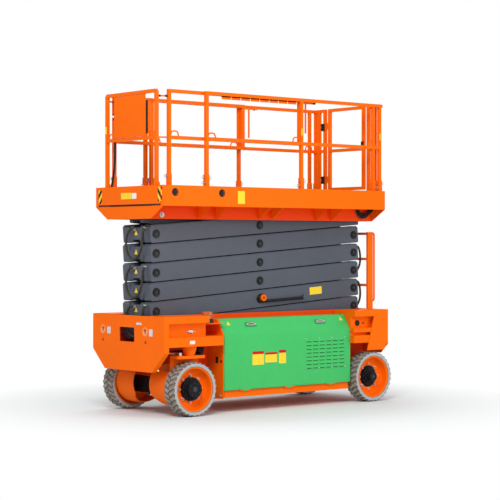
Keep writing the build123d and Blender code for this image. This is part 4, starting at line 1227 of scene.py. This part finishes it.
# Hoses from an end plate: how far out, across and up their points are from the pin.
HOSE_POINTS = (
    (0.000, -0.022, 0.046),
    (0.034, -0.026, 0.050),
    (0.040, -0.092, 0.040),
    (0.040, -0.142, -0.060),
    (0.042, -0.126, -0.180),
    (0.044, -0.040, -0.262),
    (0.044, 0.070, -0.256),
    (0.042, 0.138, -0.150),
    (0.038, 0.152, -0.030),
    (0.034, 0.162, 0.060),
    (0.000, 0.164, 0.062),
)
REAR_HOSE_POINTS = (
    (0.000, -0.022, 0.046),
    (0.030, -0.026, 0.050),
    (0.044, -0.080, 0.030),
    (0.046, -0.116, -0.060),
    (0.050, -0.090, -0.180),
    (0.056, 0.020, -0.250),
    (0.074, 0.130, -0.235),
    (0.096, 0.176, -0.150),
    (0.098, 0.184, -0.040),
    (0.072, 0.184, 0.062),
    (0.026, 0.184, 0.074),
    (0.000, 0.184, 0.072),
)
HOSE_RADIUS = 0.0120
HOSE_ENDS = {"front": ((-0.022, 0.046), (0.164, 0.062)), "rear": ((-0.022, 0.046), (0.184, 0.072))}


def build_hoses():
    """Hoses that hang across a pin, from an inner arm's end plate to an outer beam's end."""
    patterns = {
        "front": tube_piece("front_hose", HOSE_POINTS, HOSE_RADIUS, steps=8),
        "rear": tube_piece("rear_hose", REAR_HOSE_POINTS, HOSE_RADIUS, steps=8),
    }
    ends = {}
    for where, spots in HOSE_ENDS.items():
        pair = []
        for y, z in spots:
            nut = rod_piece("nut", (-0.004, y, z), (0.012, y, z), 0.0155, 6, 0.0015)
            collar = rod_piece("collar", (0.010, y, z), (0.026, y, z), 0.0128, 20, 0.0015)
            pair.append(join("hose_end", [nut, collar]))
        ends[where] = pair
    for where, level in (("front", 5), ("front", 3), ("front", 1), ("rear", 4), ("rear", 2)):
        z = LOW_PIN_Z + STAGE_RISE * level
        if where == "front":
            inner, outer = f"inner_arms_{level}", f"outer_arms_{level + 1}"
            spot = moved(FRONT_END_X, 0, z)
        else:
            inner, outer = f"inner_arms_{level + 1}", f"outer_arms_{level}"
            spot = moved(REAR_PIN_X - 0.0695, 0, z) @ MIRROR_X
        piece = copy_of(patterns[where], spot, f"hose_{where}_{level}")
        piece.data.materials.clear()
        piece.data.materials.append(hose_rubber)
        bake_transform(piece)
        dress(copy_of(ends[where][0], spot, f"hose_head_{where}_{level}"), zinc_metal, inner)
        dress(copy_of(ends[where][1], spot, f"hose_tail_{where}_{level}"), zinc_metal, outer)
    for where in patterns:
        drop(patterns[where], *ends[where])


build_pin_caps()
build_beam_caps()
build_end_marks()
build_hoses()

# The safety prop along the second outer arm, with its orange pivot, and a blank label.
PROP_PIVOT = (MID_X - 0.026, 1.180)
PROP_FROM = (MID_X - 0.030, 1.142)
PROP_TO = (-0.552, 1.170)
PROP_Y = 0.270
PROP_DISC = ((0.2557, 0.050), (0.2610, 0.050), (0.2630, 0.048), (0.2630, 0.020))
PROP_RING = (
    (0.2620, 0.016),
    (0.2620, 0.034),
    (0.266, 0.037),
    (0.284, 0.037),
    (0.289, 0.033),
    (0.289, 0.016),
    (0.2620, 0.016),
)
prop_start, prop_end = (PROP_FROM[0], PROP_Y, PROP_FROM[1]), (PROP_TO[0], PROP_Y, PROP_TO[1])
prop_bar = rod_piece("prop_bar", prop_start, prop_end, 0.0150, 20, 0.002)
disc_pattern = turned_piece("prop_disc", PROP_DISC, 32)
prop_disc = copy_of(disc_pattern, moved(PROP_PIVOT[0] + 0.010, 0, PROP_PIVOT[1] - 0.004), "prop_disc_placed")
drop(disc_pattern)
dress(join("prop_bar", [prop_bar, prop_disc]), black_paint, "outer_arms_2")
clip_x, clip_z = PROP_TO
clip_foot = block_piece(
    "clip_foot", (clip_x - 0.012, 0.2445, clip_z - 0.020), (clip_x + 0.014, 0.2880, clip_z + 0.020), 0.004
)
clip_tongue = block_piece(
    "clip_tongue", (clip_x - 0.036, 0.2445, clip_z + 0.010), (clip_x - 0.008, 0.2700, clip_z + 0.030), 0.004
)
dress(join("prop_clip", [clip_foot, clip_tongue]), arm_paint, "outer_arms_2")
prop_ring = turned_piece("prop_ring", PROP_RING, 32, hollow=True)
prop_pivot = copy_of(prop_ring, moved(PROP_PIVOT[0], 0, PROP_PIVOT[1]), "prop_pivot")
dress(prop_pivot, orange_paint, "outer_arms_2")
drop(prop_ring)
arm_label = plate_piece("arm_label", (-0.090, 0.2448, -0.041), (0.090, 0.2458, 0.041), 0.003, 1, 0.0002)
arm_label_spot = moved(-0.756, 0, 1.2440) @ turned(4.1, "Y")
dress(copy_of(arm_label, arm_label_spot, "arm_label_blank"), yellow_label, "outer_arms_2")
drop(arm_label)

# The front board and the skirt of the platform: hazard bands and blank stickers.
BOARD_X = 1.622
SKIRT_Y = 0.600
for name, body, y, z in (
    ("hazard_board_left", "extension", (0.506, 0.5495), (2.198, 2.341)),
    ("hazard_flange_left", "platform", (0.5565, 0.576), (2.198, 2.341)),
    ("hazard_board_right", "extension", (-0.5495, -0.492), (2.186, 2.331)),
):
    front_label(name, body, BOARD_X, y, z, hazard_bands, 0.001)
front_label("board_sticker_yellow", "extension", BOARD_X, (-0.138, 0.046), (2.227, 2.293), yellow_label)
front_label("board_sticker_pale", "extension", BOARD_X, (0.054, 0.134), (2.230, 2.288), white_label)
side_label("skirt_label_left", (0.560, 0.654), (2.183, 2.317), SKIRT_Y, yellow_label, "platform")
# Painted shade: a black strip stands for the shade in the gap under the board.
front_label("board_seal", "extension", BOARD_X, (-0.549, 0.549), (2.1585, 2.172), black_rubber, 0.002, 0.0012)

# A middle pair of gussets under the deck, between the channels and the skirts.
GUSSET_HALF = 0.004
gussets = []
for x in (0.190, 0.012):
    gusset = block_piece("gusset", (x - GUSSET_HALF, 0.3885, 2.026), (x + GUSSET_HALF, 0.5945, 2.1955), 0)
    edit_edges(gusset, lambda first, second: first.y > 0.5 and second.y > 0.5 and first.z < 2.1 and second.z < 2.1)
    bpy.ops.transform.translate(value=(0, 0, 0.124))
    leave_edit()
    gussets.append(round_edges(gusset, 0.001, 1))
on_both_sides(join("middle_gussets_left", gussets), orange_paint, "platform")

# The rubber rims and plugs of the skirt's round holes, and the bolt of the channel below.
HOLE_RIM = ((0.0, 0.0315), (0.0, 0.040), (0.0015, 0.041), (0.003, 0.039), (0.003, 0.0325), (0.0, 0.0315))
HOLE_PLUG = ((-0.012, 0.0305), (-0.006, 0.0305), (-0.006, 0.016), (-0.002, 0.014), (-0.002, 0.006))
CHANNEL_BOLT = ((-0.001, 0.030), (0.004, 0.030), (0.006, 0.027), (0.006, 0.018), (0.016, 0.016), (0.018, 0.013))
hole_rim = turned_piece("hole_rim", HOLE_RIM, 32, hollow=True)
plug = turned_piece("hole_plug", HOLE_PLUG, 28)
for count, x in enumerate((1.473, 0.866)):
    spot = moved(x, SKIRT_Y - 0.0004, 2.290)
    on_both_sides(copy_of(hole_rim, spot, f"hole_rim_left_{count}"), black_rubber, "platform")
    on_both_sides(copy_of(plug, spot, f"hole_plug_left_{count}"), black_plastic, "platform")
drop(hole_rim, plug)

channel_bolt = turned_piece("channel_bolt", CHANNEL_BOLT, 28)
placed_bolt = copy_of(channel_bolt, moved(1.485, 0.389, 2.064), "channel_bolt_left")
on_both_sides(placed_bolt, zinc_metal, "platform")
drop(channel_bolt)

# The bundle of hoses that comes down behind the left channel.
BUNDLE_POINTS = (
    (-1.230, 0.402, 2.150),
    (-1.250, 0.404, 2.100),
    (-1.300, 0.412, 2.066),
    (-1.370, 0.418, 2.078),
    (-1.420, 0.412, 2.120),
    (-1.470, 0.404, 2.150),
)
bundle = []
for shift in range(4):
    points = [(x, y + 0.010 * (shift % 2), z + 0.016 * shift - 0.012) for x, y, z in BUNDLE_POINTS]
    bundle.append(tube_piece("bundle_hose", points, 0.0085))
dress(join("platform_hose_bundle", bundle), black_rubber, "platform")

# Loops for harnesses on the mid rails.
MID_RAIL_TOP = 2.8675


def loop_piece(name, half, height, radius=0.006):
    """A bent rod loop at the origin, standing on a rail that runs along X."""
    points = (
        (-half, 0, -0.004),
        (-half, 0, 0.010),
        (-half * 0.72, 0, height),
        (-half * 0.2, 0, height + 0.004),
        (half * 0.2, 0, height + 0.004),
        (half * 0.72, 0, height),
        (half, 0, 0.010),
        (half, 0, -0.004),
    )
    return tube_piece(name, points, radius)


def build_loops():
    """Harness loops on the sliding and the fixed rails, and on the front rail."""
    loop = loop_piece("loop", 0.050, 0.045, 0.0075)
    slide, fixed = [], []
    for sign in (1, -1):
        for x in (1.395, 0.912):
            slide.append(copy_of(loop, moved(x, sign * 0.485, MID_RAIL_TOP)))
        for x in (-0.214, -1.345):
            fixed.append(copy_of(loop, moved(x, sign * 0.5355, MID_RAIL_TOP)))
        slide.append(copy_of(loop, moved(1.5875, sign * 0.352, MID_RAIL_TOP) @ turned(90, "Z")))
    drop(loop)
    dress(join("harness_loops_slide", slide), rail_paint, "extension")
    dress(join("harness_loops_fixed", fixed), rail_paint, "platform")


build_loops()

# The notched bar under each top rail that the sliding rail is pinned to.
RAIL_UNDER = 3.305
tab = block_piece("tab", (-0.060, 0.5225, RAIL_UNDER - 0.034), (0.060, 0.5285, RAIL_UNDER + 0.001), 0.0015, 1)
tabs = [copy_of(tab, moved(x)) for x in spaced(0.750, -0.160, 8)]
strip = block_piece("strip", (-0.235, 0.5225, RAIL_UNDER - 0.012), (0.820, 0.5285, RAIL_UNDER + 0.001), 0.0015, 1)
drop(tab)
dress(join("notched_bar", [strip] + tabs), rail_paint, "platform")

# Quick pins at the feet of the posts.
SKIRT_TOP = 2.360


QUICK_PIN_BOW = (
    (0.033, 0, 0),
    (0.040, 0, 0.014),
    (0.060, 0, 0.012),
    (0.062, 0, -0.012),
    (0.040, 0, -0.014),
    (0.033, 0, 0),
)
FIXED_RAIL_Y = 0.5355
SLIDE_RAIL_Y = 0.485


def build_quick_pin():
    """A ring-headed pin at the origin that points along X through a post's foot."""
    shank = rod_piece("shank", (-0.036, 0, 0), (0.036, 0, 0), 0.0065, 12, 0.0008)
    collar = rod_piece("pin_collar", (0.024, 0, 0), (0.034, 0, 0), 0.0130, 16, 0.001)
    return join("quick_pin", [shank, collar, tube_piece("bow", QUICK_PIN_BOW, 0.0028)])


pin = build_quick_pin()
fixed_pins, slide_pins = [], []
for sign in (1, -1):
    for x in (1.022, -0.283, -1.460):
        fixed_pins.append(copy_of(pin, moved(x, sign * FIXED_RAIL_Y, SKIRT_TOP + 0.085) @ turned(180, "Z")))
        fixed_pins.append(copy_of(pin, moved(x, sign * FIXED_RAIL_Y, SKIRT_TOP + 0.035)))
    for x in (1.466, 0.980):
        slide_pins.append(copy_of(pin, moved(x, sign * SLIDE_RAIL_Y, SKIRT_TOP + 0.095)))
drop(pin)
dress(join("quick_pins_fixed", fixed_pins), steel_metal, "platform")
dress(join("quick_pins_slide", slide_pins), steel_metal, "extension")

# A second upright with its socket beside the last post, and the cheek of the control box.
upright = block_piece("second_upright_left", (-1.3775, 0.5190, SKIRT_TOP), (-1.3425, 0.5520, 3.3070), 0.003)
socket = block_piece(
    "upright_socket_left", (-1.3825, 0.5130, SKIRT_TOP), (-1.3375, 0.5580, SKIRT_TOP + 0.120), 0.003
)
on_both_sides(join("second_upright_left", [upright, socket]), rail_paint, "platform")
CONTROL_LOW, CONTROL_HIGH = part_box("control_box")
cheek = plate_piece(
    "control_cheek",
    (CONTROL_LOW.x - 0.001, CONTROL_HIGH.y, CONTROL_LOW.z - 0.020),
    (CONTROL_HIGH.x - 0.056, CONTROL_HIGH.y + 0.0022, CONTROL_HIGH.z + 0.020),
    0.006,
    1,
)
dress(cheek, rail_paint, "extension")

# Brackets at the foot of the front posts, and blank tags on three posts.
foot_bracket = block_piece(
    "foot_bracket_left", (1.560, 0.4125, SKIRT_TOP), (1.6012, 0.4600, SKIRT_TOP + 0.035), 0.004
)
on_both_sides(foot_bracket, rail_paint, "extension")
for count, (x, low) in enumerate(((-0.2652, 2.940), (-1.4420, 2.935))):
    tag_x, tag_z = (x - 0.022, x - 0.006), (low, low + 0.075)
    side_label(f"post_tag_left_{count}", tag_x, tag_z, 0.5530, yellow_label, "platform", 0.002)
front_label("post_tag_front", "extension", 1.605, (-0.4490, -0.4240), (2.922, 2.998), yellow_label, 0.002)

# The gate's hinges and its latch.
HINGE_FACE_X = -1.4385
hinge_shells = []
for z in (2.512, 3.131):
    low = (HINGE_FACE_X - 0.001, -0.4130, z - 0.044)
    hinge_shells.append(block_piece("hinge_cover", low, (HINGE_FACE_X + 0.006, -0.3570, z + 0.044), 0.003))
    for across, up in ((-0.018, -0.026), (0.018, -0.026), (-0.018, 0.026), (0.018, 0.026), (0.0, 0.0)):
        start = (HINGE_FACE_X + 0.004, -0.385 + across, z + up)
        hinge_shells.append(rod_piece("hinge_knob", start, (HINGE_FACE_X + 0.016, *start[1:]), 0.011, 16, 0.002))
dress(join("gate_hinge_covers", hinge_shells), black_plastic, "platform")
latch_box = block_piece("gate_latch", (-1.4390, 0.2700, 2.885), (-1.4310, 0.3020, 2.935), 0.002)
latch_lever = rod_piece("latch_lever", (-1.4180, 0.286, 2.930), (-1.4180, 0.286, 2.890), 0.006, 14, 0.0015)
latch_stem = rod_piece("latch_stem", (-1.4330, 0.286, 2.922), (-1.4150, 0.286, 2.922), 0.006, 14, 0.001)
dress(join("gate_latch", [latch_box, latch_lever, latch_stem]), black_plastic, "gate")

# The control cable down the front of the platform, in its ribbed sleeve.
CABLE_POINTS = (
    (1.5500, -0.3200, 2.990),
    (1.5620, -0.3260, 2.900),
    (1.5640, -0.3320, 2.810),
    (1.5620, -0.3360, 2.700),
    (1.5600, -0.3440, 2.580),
    (1.5660, -0.3600, 2.470),
    (1.5700, -0.3840, 2.362),
)


def ribbed_sleeve(name, points, radius, pitch):
    """A tube along a few points with rings along it, as on a corrugated sleeve."""
    core = tube_piece(name, points, radius, order=4, steps=10)
    low, high = radius * 0.9, radius * 1.28
    ring = turned_piece("rib", ((-0.003, low), (-0.0015, high), (0.0015, high), (0.003, low)), 14)
    ribs = []
    for start, end in zip(points, points[1:]):
        first, last = Vector(start), Vector(end)
        along = last - first
        for step in range(max(1, int(along.length / pitch))):
            at = first + along * (step * pitch / along.length)
            ribs.append(copy_of(ring, Matrix.Translation(at) @ along.to_track_quat("Y", "Z").to_matrix().to_4x4()))
    drop(ring)
    return join(name, [core] + ribs)


dress(ribbed_sleeve("control_cable_sleeve", CABLE_POINTS, 0.0105, 0.0125), black_rubber, "extension")

# A small red canister that hangs at the top of the guard panel, with its pale band.
CANISTER_HOOK = (
    (1.5800, -0.336, 3.138),
    (1.5800, -0.336, 3.220),
    (1.5810, -0.338, 3.300),
    (1.5830, -0.340, 3.306),
)
canister = rod_piece("canister", (1.5800, -0.336, 3.062), (1.5800, -0.336, 3.140), 0.013, 20, 0.004)
canister_band = rod_piece("canister_band", (1.5800, -0.336, 3.090), (1.5800, -0.336, 3.112), 0.0137, 20, 0.001)
dress(join("red_canister", [canister, tube_piece("hook", CANISTER_HOOK, 0.003)]), red_label, "extension")
dress(canister_band, white_label, "extension")

# Black caps on the links at the front corners, and the knob of the sliding rail's lock.
LINK_FROM, LINK_TO = Vector((1.5875, 0.436, 3.270)), Vector((1.466, 0.485, 3.270))
link_way = (LINK_TO - LINK_FROM).normalized()
link_caps = [
    rod_piece("link_cap", LINK_FROM + link_way * 0.016, LINK_FROM + link_way * 0.042, 0.0115, 20, 0.002),
    rod_piece("link_cap", LINK_TO - link_way * 0.042, LINK_TO - link_way * 0.016, 0.0115, 20, 0.002),
]
on_both_sides(join("link_caps_left", link_caps), black_plastic, "extension")
LOCK_KNOB = ((0.0, 0.008), (0.005, 0.008), (0.008, 0.014), (0.016, 0.015), (0.019, 0.012))
knob = turned_piece("lock_knob", LOCK_KNOB, 24)
placed_knob = copy_of(knob, moved(-0.495, 0.5020, 3.300), "lock_knob_left")
on_both_sides(placed_knob, black_plastic, "extension")
drop(knob)

# Treads of pierced plate on the ladder's rungs.
LADDER_X = -1.554
RUNG_Y = (-0.3170, 0.2670)
for count, z in enumerate((1.880, 1.590, 1.290, 0.990, 0.700, 0.430)):
    low, high = (LADDER_X - 0.024, RUNG_Y[0], z + 0.0125), (LADDER_X + 0.024, RUNG_Y[1], z + 0.0155)
    tread = plate_piece(f"ladder_tread_{count}", low, high, 0.006, 2)
    edit_faces(tread, lambda face: face.normal.z > 0.99)
    bpy.ops.mesh.inset(thickness=0.004)
    bpy.ops.transform.translate(value=(0, 0, -0.001))
    leave_edit()
    dress(tread, steel_metal, "chassis")


def build_floor():
    """A pale floor that keeps the shadow and fades to white far from the object."""
    clear_selection()
    bpy.ops.mesh.primitive_plane_add(size=120, location=(0, 0, -0.0005))
    floor = settle("floor")
    material = bpy.data.materials.new("floor_white")
    material.use_nodes = True
    tree = material.node_tree
    shader = tree.nodes["Principled BSDF"]
    shader.inputs["Base Color"].default_value = (0.80, 0.855, 0.87, 1)
    shader.inputs["Roughness"].default_value = 0.9
    shader.inputs["Specular IOR Level"].default_value = 0.0
    glow = tree.nodes.new("ShaderNodeEmission")
    glow.inputs["Color"].default_value = (1, 1, 1, 1)
    place = object_place(tree)
    length = tree.nodes.new("ShaderNodeVectorMath")
    length.operation = "LENGTH"
    wire(tree, place, length.inputs[0])
    far = spread(tree, length.outputs["Value"], FLOOR_FADE[0], FLOOR_FADE[1])
    rays = tree.nodes.new("ShaderNodeLightPath")
    seen = maths(tree, "MAXIMUM", rays.outputs["Is Camera Ray"], rays.outputs["Is Glossy Ray"])
    seen = maths(tree, "MAXIMUM", seen, rays.outputs["Is Transmission Ray"])
    mix = tree.nodes.new("ShaderNodeMixShader")
    wire(tree, maths(tree, "MULTIPLY", far, seen), mix.inputs["Fac"])
    wire(tree, shader.outputs["BSDF"], mix.inputs[1])
    wire(tree, glow.outputs["Emission"], mix.inputs[2])
    wire(tree, mix.outputs["Shader"], tree.nodes["Material Output"].inputs["Surface"])
    floor.data.materials.append(material)


def build_world():
    """White behind the object, and an even, softer light on it."""
    world = bpy.data.worlds.new("studio")
    bpy.context.scene.world = world
    world.use_nodes = True
    tree = world.node_tree
    backdrop = tree.nodes["Background"]
    backdrop.inputs["Color"].default_value = (1, 1, 1, 1)
    backdrop.inputs["Strength"].default_value = 1.0
    ambient = tree.nodes.new("ShaderNodeBackground")
    ambient.inputs["Color"].default_value = (1, 1, 1, 1)
    ambient.inputs["Strength"].default_value = AMBIENT_LEVEL
    rays = tree.nodes.new("ShaderNodeLightPath")
    seen = maths(tree, "MAXIMUM", rays.outputs["Is Camera Ray"], rays.outputs["Is Glossy Ray"])
    seen = maths(tree, "MAXIMUM", seen, rays.outputs["Is Transmission Ray"])
    mix = tree.nodes.new("ShaderNodeMixShader")
    wire(tree, seen, mix.inputs["Fac"])
    wire(tree, ambient.outputs["Background"], mix.inputs[1])
    wire(tree, backdrop.outputs["Background"], mix.inputs[2])
    wire(tree, mix.outputs["Shader"], tree.nodes["World Output"].inputs["Surface"])


def softbox(name, at, aim, size, watts):
    """A large square lamp that looks at a place."""
    lamp = bpy.data.lights.new(name, "AREA")
    lamp.shape = "SQUARE"
    lamp.size = size
    lamp.energy = watts
    holder = bpy.data.objects.new(name, lamp)
    bpy.context.scene.collection.objects.link(holder)
    holder.location = at
    holder.rotation_mode = "QUATERNION"
    holder.rotation_quaternion = (Vector(aim) - Vector(at)).to_track_quat("-Z", "Y")


AMBIENT_LEVEL = 0.5
FLOOR_FADE = (1.6, 3.4)
build_floor()
build_world()
softbox("key_light", (7.0, 6.5, 8.0), (0, 0, 1.2), 4.0, 700)
softbox("fill_light", (-4.0, 9.0, 4.0), (0, 0, 1.5), 5.0, 220)
softbox("top_light", (-1.0, -2.0, 9.0), (0, 0, 1.0), 5.0, 200)
